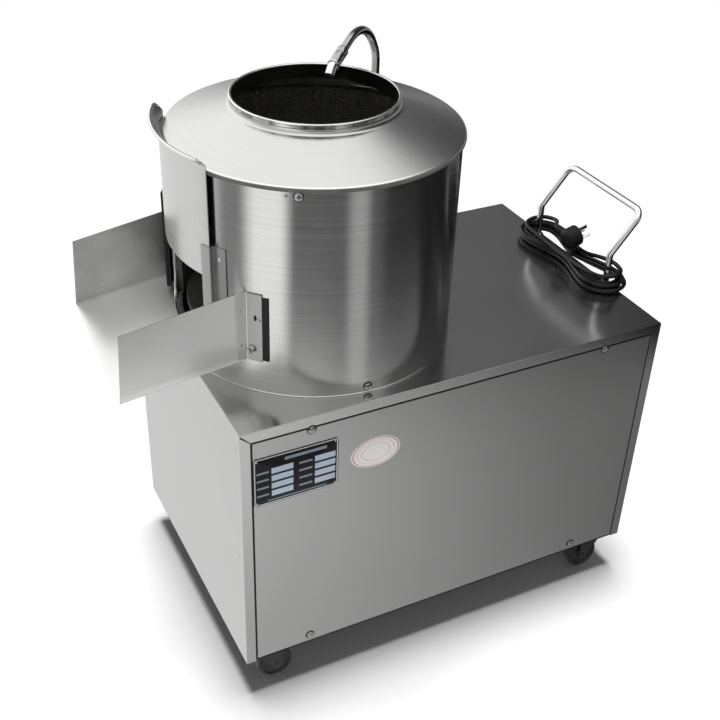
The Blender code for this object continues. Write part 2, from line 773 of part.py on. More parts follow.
def bearings():
    """Two flange housings, each with its ball bearing."""
    bore = BEARING_RADIUS + GAP
    seat = BEARING_WIDTH + GAP * 2
    length = HOUSING_FLANGE + HOUSING_HUB
    rows = (("upper", BEAM_TOP - BEAM_WALL - GAP, -1), ("lower", DRIVE_PLATE_TOP + GAP, 1))
    for name, base, way in rows:
        outer = [
            (HOUSING_FLANGE_RADIUS, 0.0),
            (HOUSING_FLANGE_RADIUS, HOUSING_FLANGE),
            (HOUSING_HUB_RADIUS, HOUSING_FLANGE),
            (HOUSING_HUB_RADIUS, length),
            (bore, length),
            (bore, length - seat),
            (HOUSING_LIP_RADIUS, length - seat),
            (HOUSING_LIP_RADIUS, 0.0),
        ]
        profile = [(r, base + way * z) for r, z in outer]
        if way > 0:
            profile.reverse()
        place(turned(name + "_bearing_housing", profile, SMALL_STEPS), CAST, MAIN_AXIS)
        near = base + way * (length - seat + GAP)
        far = near + way * BEARING_WIDTH
        low, high = min(near, far), max(near, far)
        ring = [(BEARING_RADIUS, high), (BEARING_RADIUS, low), (SHAFT_RADIUS + GAP, low), (SHAFT_RADIUS + GAP, high)]
        place(turned(name + "_bearing", ring, SMALL_STEPS), POLISHED, MAIN_AXIS)


def pulley_profile(pitch, hub, bore):
    """A grooved rim, a thin web and a hub, from the pulley's bottom at height 0."""
    rim_out = pitch + BELT_THICKNESS * GROOVE_SHARE
    groove = pitch - BELT_THICKNESS * GROOVE_SHARE - GAP * 3
    side = (PULLEY_WIDTH - BELT_HEIGHT) / 2 - GAP
    rim_in = max(groove - PULLEY_RIM, hub)
    web_low, web_high = (PULLEY_WIDTH - PULLEY_WEB) / 2, (PULLEY_WIDTH + PULLEY_WEB) / 2
    outside = [
        (rim_out, PULLEY_WIDTH),
        (rim_out, PULLEY_WIDTH - side),
        (groove, PULLEY_WIDTH - side),
        (groove, side),
        (rim_out, side),
        (rim_out, 0.0),
    ]
    if rim_in <= hub:
        return outside + [(bore, 0.0), (bore, PULLEY_WIDTH)]
    below = [(rim_in, 0.0), (rim_in, web_low), (hub, web_low), (hub, 0.0), (bore, 0.0)]
    above = [(bore, PULLEY_WIDTH), (hub, PULLEY_WIDTH), (hub, web_high), (rim_in, web_high), (rim_in, PULLEY_WIDTH)]
    return outside + below + above


def belt_outline(offset):
    """The open belt's outline, this far outside its pitch line."""
    distance = MOTOR_X - DRUM_X
    lean = math.acos((MAIN_PITCH_RADIUS - MOTOR_PITCH_RADIUS) / distance)
    large = arc(MAIN_PITCH_RADIUS + offset, lean, 2 * math.pi - lean, BELT_STEPS)
    small = arc(MOTOR_PITCH_RADIUS + offset, -lean, lean, BELT_STEPS // 2)
    return [(DRUM_X + x, y) for x, y in large] + [(MOTOR_X + x, y) for x, y in small]


def drive():
    """Main shaft, pulleys, belt and motor."""
    spigot_start = CABINET_TOP + DISC_HUB_BOTTOM - GAP
    shaft = [
        (0.0, CABINET_TOP + DISC_HUB_TOP),
        (SPIGOT_RADIUS, CABINET_TOP + DISC_HUB_TOP),
        (SPIGOT_RADIUS, spigot_start),
        (SHAFT_RADIUS, spigot_start),
        (SHAFT_RADIUS, SHAFT_BOTTOM + FLOOR_OF_CABINET),
        (0.0, SHAFT_BOTTOM + FLOOR_OF_CABINET),
    ]
    place(turned("main_shaft", shaft, SMALL_STEPS, closed=False), POLISHED, MAIN_AXIS)

    bottom = FLOOR_OF_CABINET + PULLEY_BOTTOM
    main = pulley_profile(MAIN_PITCH_RADIUS, MAIN_HUB_RADIUS, SHAFT_RADIUS + GAP)
    place(turned("main_pulley", main, SMALL_STEPS), CAST, MAIN_AXIS, (0.0, 0.0, bottom))
    small = pulley_profile(MOTOR_PITCH_RADIUS, MOTOR_PITCH_RADIUS, MOTOR_SHAFT_RADIUS + GAP)
    place(turned("motor_pulley", small, SMALL_STEPS), CAST, MOTOR_AXIS, (0.0, 0.0, bottom))

    middle = bottom + PULLEY_WIDTH / 2
    half = BELT_THICKNESS * GROOVE_SHARE
    low, high = middle - BELT_HEIGHT / 2, middle + BELT_HEIGHT / 2
    belt = outlined("drive_belt", belt_outline(half), low, high)
    place(belt, BLACK_RUBBER, MACHINE)
    cut(belt, outlined("belt_inside", belt_outline(-half), low - OVERRUN, high + OVERRUN), MACHINE)

    motor_low = MOTOR_LOW
    motor_high = motor_low + MOTOR_FLANGE + MOTOR_LENGTH
    entry = motor_low + MOTOR_SHAFT_ENTRY
    bore = MOTOR_SHAFT_RADIUS + GAP
    housing = [
        (0.0, motor_high),
        (MOTOR_RADIUS, motor_high),
        (MOTOR_RADIUS, motor_low + MOTOR_FLANGE),
        (MOTOR_FLANGE_RADIUS, motor_low + MOTOR_FLANGE),
        (MOTOR_FLANGE_RADIUS, motor_low),
        (bore, motor_low),
        (bore, entry + GAP),
        (0.0, entry + GAP),
    ]
    place(turned("motor_housing", housing, SMALL_STEPS, closed=False), PAINTED, MOTOR_AXIS)
    cover_low = motor_high + GAP
    cover_high = cover_low + FAN_COVER_LENGTH
    cover = [
        (0.0, cover_high),
        (FAN_COVER_RADIUS - FAN_COVER_DOME, cover_high),
        (FAN_COVER_RADIUS, cover_high - FAN_COVER_DOME),
        (FAN_COVER_RADIUS, cover_low),
        (0.0, cover_low),
    ]
    place(turned("motor_fan_cover", cover, SMALL_STEPS, closed=False), PAINTED, MOTOR_AXIS)
    rotor = [
        (0.0, entry),
        (MOTOR_SHAFT_RADIUS, entry),
        (MOTOR_SHAFT_RADIUS, FLOOR_OF_CABINET + SHAFT_BOTTOM),
        (0.0, FLOOR_OF_CABINET + SHAFT_BOTTOM),
    ]
    place(turned("motor_shaft", rotor, SMALL_STEPS, closed=False), POLISHED, MOTOR_AXIS)
    box_low = motor_low + MOTOR_FLANGE + (MOTOR_LENGTH - TERMINAL_BOX_HEIGHT) * TERMINAL_BOX_RISE_SHARE
    box = block(
        "motor_terminal_box",
        (-TERMINAL_BOX_WIDTH / 2, -MOTOR_RADIUS - TERMINAL_BOX_DEPTH, box_low),
        (TERMINAL_BOX_WIDTH / 2, -MOTOR_RADIUS / 2, box_low + TERMINAL_BOX_HEIGHT),
    )
    place(box, PAINTED, MOTOR_AXIS)
    cut(
        box,
        bar("box_seat", MOTOR_RADIUS + GAP, motor_low, motor_high + OVERRUN, steps=SMALL_STEPS),
        MOTOR_AXIS,
    )


def opening_cutter(name):
    """The discharge opening, as a block through the drum's side."""
    return block(
        name,
        (DRUM_RADIUS / 2, -OPENING_HALF_WIDTH, OPENING_BOTTOM),
        (DRUM_RADIUS + OVERRUN, OPENING_HALF_WIDTH, OPENING_TOP),
    )


def drum():
    """Shell, floor pan, lining, seal and drain."""
    inner = DRUM_RADIUS - DRUM_WALL
    top = GAP + DRUM_HEIGHT
    shell = [(DRUM_RADIUS, top), (DRUM_RADIUS, GAP), (inner, GAP), (inner, top)]
    place(turned("drum_shell", shell, DRUM_STEPS), BRUSHED, DRUM_AXIS)
    cut(bpy.data.objects["drum_shell"], opening_cutter("shell_opening"), DISCHARGE)

    rim = inner - GAP
    pan = [
        (rim, PAN_TOP + PAN_RIM_HEIGHT),
        (rim, GAP),
        (PAN_BORE, GAP),
        (PAN_BORE, PAN_TOP),
        (rim - SHEET, PAN_TOP),
        (rim - SHEET, PAN_TOP + PAN_RIM_HEIGHT),
    ]
    place(turned("drum_floor", pan, DRUM_STEPS), BRUSHED, DRUM_AXIS)
    drain = bar("pan_drain", DRAIN_RADIUS + GAP, -OVERRUN, PAN_TOP + OVERRUN, (DRAIN_X, DRAIN_Y))
    cut(bpy.data.objects["drum_floor"], drain, DRUM_AXIS)

    lining_low = PAN_TOP + PAN_RIM_HEIGHT + GAP
    lining_high = top - LINING_TOP_GAP
    ring = [(rim, lining_high), (rim, lining_low), (rim - LINING_WALL, lining_low), (rim - LINING_WALL, lining_high)]
    place(turned("drum_lining", ring, DRUM_STEPS), ABRASIVE, DRUM_AXIS)
    cut(bpy.data.objects["drum_lining"], opening_cutter("lining_opening"), DISCHARGE)

    seal_low = PAN_TOP + GAP
    seal = [
        (SEAL_CROWN, seal_low + SEAL_HEIGHT),
        (SEAL_RADIUS, seal_low + DRAIN_WALL),
        (SEAL_RADIUS, seal_low),
        (SHAFT_RADIUS + GAP, seal_low),
        (SHAFT_RADIUS + GAP, seal_low + SEAL_HEIGHT),
    ]
    place(turned("shaft_seal", seal, SMALL_STEPS), BLACK_RUBBER, DRUM_AXIS)

    flange_low = PAN_TOP + GAP
    tail = FLOOR_OF_CABINET - DRAIN_TAIL - CABINET_TOP
    pipe = [
        (DRAIN_FLANGE, flange_low + DRAIN_FLANGE_THICKNESS),
        (DRAIN_FLANGE, flange_low),
        (DRAIN_RADIUS, flange_low),
        (DRAIN_RADIUS, tail),
        (DRAIN_RADIUS - DRAIN_WALL, tail),
        (DRAIN_RADIUS - DRAIN_WALL, flange_low + DRAIN_FLANGE_THICKNESS),
    ]
    place(turned("drain_pipe", pipe, SMALL_STEPS), BRUSHED, DRUM_AXIS, (DRAIN_X, DRAIN_Y, 0.0))


def disc():
    """Abrasive disc with three soft waves on its upper side, and the cap nut that holds it."""
    rim_low = DISC_RIM_TOP - DISC_RIM_THICKNESS
    bore = SPIGOT_RADIUS + GAP
    rings = 4
    shape = bmesh.new()
    top = [
        (bore + (DISC_RADIUS - bore) * i / rings, DISC_HUB_TOP if i == 0 else DISC_RIM_TOP) for i in range(rings + 1)
    ]
    top.insert(1, (CAP_NUT_RADIUS + ANGLE_WALL, DISC_HUB_TOP))
    bottom = [
        (DISC_RADIUS, rim_low),
        (DISC_HUB_RADIUS, rim_low),
        (DISC_HUB_RADIUS, DISC_HUB_BOTTOM),
        (bore, DISC_HUB_BOTTOM),
    ]
    verts = [shape.verts.new((r, 0.0, z)) for r, z in top + bottom]
    edges = [shape.edges.new(pair) for pair in zip(verts, verts[1:] + verts[:1])]
    bmesh.ops.spin(
        shape, geom=verts + edges, axis=(0, 0, 1), cent=(0, 0, 0), angle=2 * math.pi, steps=DISC_STEPS, use_merge=True
    )
    bmesh.ops.remove_doubles(shape, verts=shape.verts, dist=MERGE)
    for vert in shape.verts:
        radius = math.hypot(vert.co.x, vert.co.y)
        if vert.co.z > DISC_RIM_TOP - MERGE and vert.co.z < DISC_HUB_TOP - MERGE and radius < DISC_RADIUS - MERGE:
            swell = 0.5 + 0.5 * math.cos(WAVE_COUNT * math.atan2(vert.co.y, vert.co.x))
            vert.co.z += WAVE_HEIGHT * swell**2
    bmesh.ops.recalc_face_normals(shape, faces=shape.faces)
    place(to_object("abrasive_disc", shape), ABRASIVE, DRUM_AXIS)

    nut_low = DISC_HUB_TOP + GAP
    nut_high = nut_low + CAP_NUT_HEIGHT
    nut = [
        (0.0, nut_high + CAP_NUT_DOME),
        *((CAP_NUT_RADIUS * out, nut_high + CAP_NUT_DOME * up) for out, up in CAP_NUT_SHARES),
        (CAP_NUT_RADIUS, nut_high),
        (CAP_NUT_RADIUS, nut_low),
        (0.0, nut_low),
    ]
    place(turned("disc_cap_nut", nut, SMALL_STEPS, closed=False), POLISHED, DRUM_AXIS)


def lid():
    """Conical lid, seated on the drum's edge, and the polished collar of its mouth."""
    seat = GAP + DRUM_HEIGHT + GAP
    rim_top = seat + SHEET
    neck = MOUTH_RADIUS + SHEET + GAP
    rise = LID_RISE / (LID_RADIUS - neck)
    skirt_out = DRUM_RADIUS - DRUM_WALL - GAP
    skirt_in = skirt_out - SHEET
    cone = rim_top + LID_RISE
    profile = [
        (neck, cone),
        (LID_RADIUS, rim_top),
        (LID_RADIUS, rim_top - LID_RIM_HEIGHT),
        (LID_RADIUS - SHEET, rim_top - LID_RIM_HEIGHT),
        (LID_RADIUS - SHEET, seat),
        (skirt_out, seat),
        (skirt_out, seat - LID_SKIRT_HEIGHT),
        (skirt_in, seat - LID_SKIRT_HEIGHT),
        (skirt_in, rim_top + rise * (LID_RADIUS - skirt_in) - SHEET),
        (neck, cone - SHEET),
    ]
    place(turned("lid", profile, DRUM_STEPS), BRUSHED, DRUM_AXIS)
    mouth_top = cone + COLLAR_HEIGHT
    outer = MOUTH_RADIUS + SHEET
    collar = [
        (outer + COLLAR_BEAD, mouth_top),
        (outer + COLLAR_BEAD, mouth_top - COLLAR_BEAD_HEIGHT),
        (outer, mouth_top - COLLAR_BEAD_HEIGHT),
        (outer, cone - COLLAR_TUCK),
        (MOUTH_RADIUS, cone - COLLAR_TUCK),
        (MOUTH_RADIUS, mouth_top),
    ]
    place(turned("lid_collar", collar, COLLAR_STEPS), POLISHED, DRUM_AXIS)


def gate():
    """Curved gate with a flared lip, and the two guides that carry it."""
    bottom = GATE_SHUT_BOTTOM + GATE_REST_LIFT
    fold = bottom + GATE_HEIGHT
    middle = GATE_INNER + GATE_WALL / 2
    lip_out = GATE_LIP * math.sin(GATE_LIP_ANGLE)
    lip_up = GATE_LIP * math.cos(GATE_LIP_ANGLE)
    plate = turned("gate_plate", [(middle + lip_out, fold + lip_up), (middle, fold), (middle, bottom)], 24, closed=False)
    screw = plate.modifiers["turn"]
    screw.angle = 2 * GATE_HALF_ANGLE
    solid = plate.modifiers.new("sheet", "SOLIDIFY")
    solid.thickness = GATE_WALL
    solid.offset = 0.0
    place(plate, BRUSHED, DISCHARGE, rotation=(0.0, 0.0, -GATE_HALF_ANGLE))

    edge = GATE_HALF_ANGLE + GAP / GATE_INNER
    cover_in = GATE_OUTER + GAP
    cover_out = cover_in + GUIDE_SHEET
    spacer_out = GATE_INNER - GAP
    base_in = DRUM_RADIUS + GAP
    base_out = base_in + GUIDE_SHEET
    web = edge + GUIDE_SHEET / GATE_OUTER
    for name, side in (("gate_guide_near", 1), ("gate_guide_far", -1)):
        outline = arc(cover_out, web - GUIDE_COVER_ANGLE, web, 3)
        outline += arc(base_out, web, web + GUIDE_BASE_ANGLE, 3)
        outline += arc(base_in, web + GUIDE_BASE_ANGLE, edge - GUIDE_SPACER_ANGLE, 5)
        outline += arc(spacer_out, edge - GUIDE_SPACER_ANGLE, edge, 2)
        outline += arc(cover_in, edge, web - GUIDE_COVER_ANGLE, 3)
        outline = [(x, side * y) for x, y in outline]
        place(outlined(name, outline, GUIDE_BOTTOM, GUIDE_TOP), BRUSHED, DISCHARGE)


def chute():
    """Sloping chute of folded sheet, and the brackets that hold it to the drum."""
    start = CHUTE_HALF_WIDTH - OVERRUN
    run = CHUTE_REACH - start
    top_run = CHUTE_REACH - CHUTE_END_LEAN - start
    floor_in = CHUTE_END_FLOOR + CHUTE_SLOPE * run
    top_in = CHUTE_END_FLOOR + CHUTE_END_HEIGHT + CHUTE_TOP_SLOPE * top_run
    side = [
        (start, floor_in - CHUTE_SHEET),
        (CHUTE_REACH, CHUTE_END_FLOOR - CHUTE_SHEET),
        (CHUTE_REACH - CHUTE_END_LEAN, CHUTE_END_FLOOR + CHUTE_END_HEIGHT),
        (start, top_in),
    ]
    past = CHUTE_REACH + OVERRUN
    before = start - OVERRUN
    high = top_in + OVERRUN
    hollow = [
        (before, floor_in + CHUTE_SLOPE * OVERRUN),
        (past, CHUTE_END_FLOOR - CHUTE_SLOPE * OVERRUN),
        (past, high),
        (before, high),
    ]
    upright = (math.pi / 2, 0.0, 0.0)
    body = outlined("chute", side, -CHUTE_HALF_WIDTH, CHUTE_HALF_WIDTH)
    place(body, BRUSHED, DISCHARGE, rotation=upright)
    inner = CHUTE_HALF_WIDTH - CHUTE_SHEET
    channel = outlined("chute_channel", hollow, -inner, inner)
    cut(body, channel, DISCHARGE)
    channel.rotation_euler = upright
    seat = bar("chute_seat", DRUM_RADIUS + GAP, GAP, high, steps=DRUM_STEPS)
    cut(body, seat, DRUM_AXIS)

    inner_r = DRUM_RADIUS + GAP
    outer_r = inner_r + BRACKET_SHEET
    face = CHUTE_HALF_WIDTH + GAP
    first = math.asin(face / inner_r)
    leg_end = math.sqrt(inner_r**2 - face**2) + BRACKET_LEG
    last = first + BRACKET_STRIP_ANGLE
    for name, way in (("chute_bracket_near", 1), ("chute_bracket_far", -1)):
        outline = [(leg_end, face + BRACKET_SHEET), (leg_end, face)]
        outline += arc(inner_r, first, last, 3)
        outline += arc(outer_r, last, math.asin((face + BRACKET_SHEET) / outer_r), 3)
        outline = [(x, way * y) for x, y in outline]
        place(outlined(name, outline, BRACKET_BOTTOM, BRACKET_TOP), BRUSHED, DISCHARGE)


def pipe_path():
    """Centreline of the spray pipe in its plane, as (reach from the drum's axis, height) corners."""
    return [Vector((reach, 0.0, height)) for reach, height in PIPE_CORNERS]


def spray_pipe():
    """Pipe behind the drum with its sleeve, nozzle, clip and the hose that feeds it."""
    corners = pipe_path()
    ahead = (corners[-1] - corners[-2]).normalized()
    sleeve_start = corners[-1] - ahead * SLEEVE_LENGTH
    socket = sleeve_start + ahead * SLEEVE_SOCKET
    rise = filleted(corners[:-1] + [socket - ahead * GAP], PIPE_BENDS, 6)
    pipe = tube_mesh("spray_pipe", rise, PIPE_RADIUS, 2)
    place(pipe, POLISHED, PIPE_PLANE)
    foot = (PIPE_REACH, 0.0)
    join(pipe, bar("pipe_flange", BULKHEAD_RADIUS, GAP, BULKHEAD_HEIGHT, foot, steps=6), PIPE_PLANE)

    bore = PIPE_RADIUS + GAP
    shank_seat = SLEEVE_LENGTH - NOZZLE_SHANK
    sleeve = [
        (SLEEVE_RADIUS, SLEEVE_LENGTH),
        (SLEEVE_RADIUS, 0.0),
        (bore, 0.0),
        (bore, SLEEVE_SOCKET),
        (NOZZLE_SHANK_RADIUS + GAP, SLEEVE_SOCKET),
        (NOZZLE_SHANK_RADIUS + GAP, SLEEVE_LENGTH),
    ]
    lean = ahead.to_track_quat("Z", "Y").to_euler()
    place(turned("pipe_sleeve", sleeve, TINY_STEPS), POLISHED, PIPE_PLANE, sleeve_start, lean)

    start = corners[-1] + ahead * GAP
    bend = start + ahead * NOZZLE_RADIUS
    drop = Vector((-math.cos(NOZZLE_DROP), 0.0, -math.sin(NOZZLE_DROP)))
    turn_down = filleted([start, bend, bend + drop * NOZZLE_LENGTH], [NOZZLE_RADIUS], 4)
    head = tube_mesh("spray_nozzle", turn_down, NOZZLE_RADIUS, 4)
    place(head, CHROME, PIPE_PLANE)
    shank_end = SLEEVE_LENGTH + NOZZLE_RADIUS
    shank = bar("nozzle_shank", NOZZLE_SHANK_RADIUS, shank_seat + GAP, shank_end, steps=TINY_STEPS)
    join(head, shank, PIPE_PLANE)
    shank.location = sleeve_start
    shank.rotation_euler = lean

    ring = bore + CLIP_WALL
    neck = CLIP_WALL / 2
    inner, outer = DRUM_RADIUS + GAP, DRUM_RADIUS + GAP + CLIP_WALL / 2
    turn = math.asin(neck / ring)
    loop = [(PIPE_REACH + x, y) for x, y in arc(ring, turn - math.pi, math.pi - turn, TINY_STEPS)]
    root = math.asin(neck / outer)
    outline = arc(outer, -CLIP_FOOT_ANGLE, -root, 2) + loop
    outline += arc(outer, root, CLIP_FOOT_ANGLE, 2) + arc(inner, CLIP_FOOT_ANGLE, -CLIP_FOOT_ANGLE, 4)
    clip = outlined("pipe_bracket", outline, CLIP_HEIGHT, CLIP_HEIGHT + CLIP_WIDTH)
    place(clip, BRUSHED, PIPE_PLANE)
    clip_low, clip_high = CLIP_HEIGHT - OVERRUN, CLIP_HEIGHT + CLIP_WIDTH + OVERRUN
    cut(clip, bar("clip_bore", bore, clip_low, clip_high, foot, steps=TINY_STEPS), PIPE_PLANE)

    x, y = pipe_foot()
    top = CABINET_TOP - SHEET * 3
    end_x = END_FACE - SHEET - GAP - LOCK_NUT_LENGTH - GAP
    route = filleted([(x, y, top), (x, y, INLET_HEIGHT), (end_x, y, INLET_HEIGHT)], [INLET_BEND], 6)
    hose = tube_mesh("inlet_hose", route, INLET_RADIUS, 3)
    place(hose, BLACK_RUBBER, MACHINE)
    pipe_end = CABINET_TOP - SHEET - PIPE_TAIL - GAP
    cut(hose, bar("hose_top_bore", bore, pipe_end, top + OVERRUN, (x, y), steps=TINY_STEPS), MACHINE)
    spigot = bar("hose_end_bore", HOSE_SPIGOT_RADIUS + GAP, -HOSE_SPIGOT_LENGTH - GAP, OVERRUN, steps=TINY_STEPS)
    cut(hose, spigot, MACHINE)
    spigot.location = (end_x, y, INLET_HEIGHT)
    spigot.rotation_euler = (0.0, math.pi / 2, 0.0)

    inside = end_x - END_FACE
    barb = (HOSE_TAIL_LENGTH - HOSE_NUT_LENGTH) / 3
    crests = []
    for k in range(3):
        high = HOSE_TAIL_LENGTH - barb * k
        low = high - barb * HOSE_BARB_SHARE
        crests += [(HOSE_BARB_RADIUS - GROOVE, high), (HOSE_BARB_RADIUS, low)]
        crests += [(HOSE_BARB_RADIUS - GROOVE, low)] if k < 2 else []
    tail = crests + [
        (HOSE_BARB_RADIUS, HOSE_NUT_LENGTH),
        (HOSE_NUT_RADIUS, HOSE_NUT_LENGTH),
        (HOSE_NUT_RADIUS, GAP),
        (HOSE_TAIL_RADIUS, GAP),
        (HOSE_TAIL_RADIUS, -SHEET - GAP),
        (HOSE_NUT_RADIUS, -SHEET - GAP),
        (HOSE_NUT_RADIUS, -SHEET - GAP - LOCK_NUT_LENGTH),
        (HOSE_SPIGOT_RADIUS, -SHEET - GAP - LOCK_NUT_LENGTH),
        (HOSE_SPIGOT_RADIUS, inside - HOSE_SPIGOT_LENGTH),
        (HOSE_BORE, inside - HOSE_SPIGOT_LENGTH),
        (HOSE_BORE, HOSE_TAIL_LENGTH),
    ]
    place(
        turned("hose_tail", tail, TINY_STEPS),
        POLISHED,
        MACHINE,
        (END_FACE, y, INLET_HEIGHT),
        (0.0, math.pi / 2, 0.0),
    )


def handle():
    """Push handle: one rod with four bends, on two welded feet."""
    foot = CABINET_TOP + GAP
    bend = CABINET_TOP + HANDLE_BEND_HEIGHT
    grip = CABINET_TOP + HANDLE_GRIP_HEIGHT
    near, far = -HANDLE_HALF_SPAN, HANDLE_HALF_SPAN
    corners = [
        (HANDLE_X, near, foot),
        (HANDLE_X, near, bend),
        (HANDLE_GRIP_X, near, grip),
        (HANDLE_GRIP_X, far, grip),
        (HANDLE_X, far, bend),
        (HANDLE_X, far, foot),
    ]
    radii = [HANDLE_BEND_RADIUS, HANDLE_CORNER_RADIUS, HANDLE_CORNER_RADIUS, HANDLE_BEND_RADIUS]
    rod = tube_mesh("push_handle", filleted(corners, radii, 4), ROD_RADIUS, 3)
    place(rod, CHROME, MACHINE)
    for name, y in (("near_foot", near), ("far_foot", far)):
        join(rod, bar(name, FOOT_RADIUS, foot, foot + FOOT_HEIGHT, (HANDLE_X, y), TINY_STEPS), MACHINE)


def settled(obj, name):
    """The object's evaluated shape as a mesh, and the object and its helpers removed."""
    bpy.context.view_layer.update()
    graph = bpy.context.evaluated_depsgraph_get()
    mesh = bpy.data.meshes.new_from_object(obj.evaluated_get(graph))
    mesh.name = name
    for modifier in obj.modifiers:
        if modifier.type == "BOOLEAN":
            bpy.data.objects.remove(modifier.object)
    bpy.data.objects.remove(obj)
    return mesh


def caster_meshes():
    """Mounting plate, fork and wheel, as meshes that the four casters share."""
    half = CASTER_PLATE / 2
    plate_top = CASTER_HEIGHT
    plate_low = plate_top - CASTER_PLATE_WALL
    plate = block("caster_plate", (-half, -half, plate_low), (half, half, plate_top))
    place(plate, GALVANISED, None)
    join(plate, bar("plate_race", CASTER_RACE_RADIUS, plate_low - CASTER_RACE, plate_top - CASTER_PLATE_WALL / 2))
    cut(plate, bar("pin_hole", KINGPIN_RADIUS + GAP, plate_low - OVERRUN, plate_top + OVERRUN, steps=TINY_STEPS))

    leg_in = WHEEL_WIDTH / 2 + FORK_SIDE_GAP
    leg_out = leg_in + FORK_WALL
    foot = FORK_LEG_WIDTH / 2
    race_low = plate_low - CASTER_RACE * 2 - GAP
    crown_low = race_low - FORK_CROWN
    sole = [(x - CASTER_TRAIL, z + AXLE_HEIGHT) for x, z in arc(foot, -math.pi, 0.0, 6)]
    side = [(-CASTER_TRAIL - foot, race_low)] + sole + [(FORK_CROWN_FRONT, crown_low), (FORK_CROWN_FRONT, race_low)]
    fork = outlined("caster_fork", side, -leg_out, leg_out)
    fork.data.transform(Matrix.Rotation(math.pi / 2, 4, "X"))
    place(fork, GALVANISED, None)
    reach = WHEEL_RADIUS * 2
    cut(fork, block("wheel_room", (-reach, -leg_in, -OVERRUN), (reach, leg_in, crown_low)))
    pin = [
        (KINGPIN_RADIUS, plate_top - GAP),
        (KINGPIN_RADIUS, plate_low - CASTER_RACE - GAP),
        (CASTER_RACE_RADIUS, plate_low - CASTER_RACE - GAP),
        (CASTER_RACE_RADIUS, crown_low + FORK_CROWN / 2),
    ]
    core = [(0.0, plate_top - GAP)] + pin + [(0.0, crown_low + FORK_CROWN / 2)]
    join(fork, turned("fork_pin", core, TINY_STEPS, closed=False))
    axle_end = leg_out + FORK_WALL / 2
    axle = bar("fork_axle", AXLE_RADIUS, -axle_end, axle_end, steps=TINY_STEPS)
    join(fork, axle)
    axle.location = (-CASTER_TRAIL, 0.0, AXLE_HEIGHT)
    axle.rotation_euler = (math.pi / 2, 0.0, 0.0)

    face = WHEEL_WIDTH / 2
    rim = WHEEL_RADIUS - TYRE_ROUNDING
    bore = AXLE_RADIUS + GAP
    profile = [
        (WHEEL_RADIUS, face - TYRE_ROUNDING),
        (WHEEL_RADIUS, TYRE_ROUNDING - face),
        (rim, -face),
        (bore, -face),
        (bore, face),
        (rim, face),
    ]
    wheel = turned("caster_wheel", profile, WHEEL_FACETS)
    place(wheel, BLACK_RUBBER, None)
    return settled(plate, "caster_plate"), settled(fork, "caster_fork"), settled(wheel, "caster_wheel")


def casters():
    """Four swivel casters, each with its own swivel axis and wheel axis."""
    plate_mesh, fork_mesh, wheel_mesh = caster_meshes()
    corners = (("front_left", -1, -1), ("front_right", 1, -1), ("back_left", -1, 1), ("back_right", 1, 1))
    for corner, side_x, side_y in corners:
        where = (side_x * CASTER_X, side_y * CASTER_Y, 0.0)
        swivel = empty("swivel_" + corner, where, MACHINE, math.pi * (side_x < 0))
        for name, mesh in (("_plate", plate_mesh), ("_fork", fork_mesh)):
            piece = bpy.data.objects.new("caster_" + corner + name, mesh)
            piece.parent = swivel
            PARTS.objects.link(piece)
        wheel = bpy.data.objects.new("caster_" + corner + "_wheel", wheel_mesh)
        wheel.parent = swivel
        wheel.location = (-CASTER_TRAIL, 0.0, AXLE_HEIGHT)
        wheel.rotation_euler = (math.pi / 2, math.pi / WHEEL_FACETS, 0.0)
        PARTS.objects.link(wheel)


def switch():
    """Rocker switch on the +X end: a framed body with a well, and the rocker on its pivot."""
    front = GAP + SWITCH_BEZEL_WALL
    half_y, half_z = SWITCH_BEZEL_WIDTH / 2, SWITCH_BEZEL_HEIGHT / 2
    pivot = (END_FACE + front, SWITCH_Y, SWITCH_Z)
    body = block("switch_frame", (-SWITCH_BEZEL_WALL, -half_y, -half_z), (0.0, half_y, half_z))
    place(body, BLACK_PLASTIC, MACHINE, pivot)
    body_y, body_z = SWITCH_BODY_WIDTH / 2, SWITCH_BODY_HEIGHT / 2
    core_back = -front - SWITCH_BODY_DEPTH
    core = block("switch_core", (core_back, -body_y, -body_z), (-SWITCH_BEZEL_WALL / 2, body_y, body_z))
    join(body, core, MACHINE)
    core.location = pivot
    well_y = ROCKER_WIDTH / 2 + ROCKER_SIDE_GAP
    well_z = ROCKER_HEIGHT / 2 + ROCKER_END_GAP
    well = block("switch_well", (-ROCKER_WELL, -well_y, -well_z), (OVERRUN, well_y, well_z))
    cut(body, well, MACHINE)
    well.location = pivot

    half = ROCKER_HEIGHT / 2
    profile = [(-ROCKER_DEPTH, -half), (ROCKER_PROUD, -half), (ROCKER_PROUD / 2, 0.0), (ROCKER_PROUD, half)]
    profile.append((-ROCKER_DEPTH, half))
    rocker = outlined("switch_rocker", profile, -ROCKER_WIDTH / 2, ROCKER_WIDTH / 2)
    rocker.data.transform(Matrix.Rotation(math.pi / 2, 4, "X"))
    place(rocker, RED_PLASTIC, MACHINE, pivot, (0.0, -ROCKER_TILT, 0.0))


def run_spread(step, share):
    """Half width of the winding's turn, this share of the way from its waist to a post."""
    end = HANK_END_RADIUS + HANK_PITCH * step
    waist = HANK_WAIST + HANK_PITCH * step
    return waist + (end - waist) * math.sin(math.pi * share / 2) ** 2


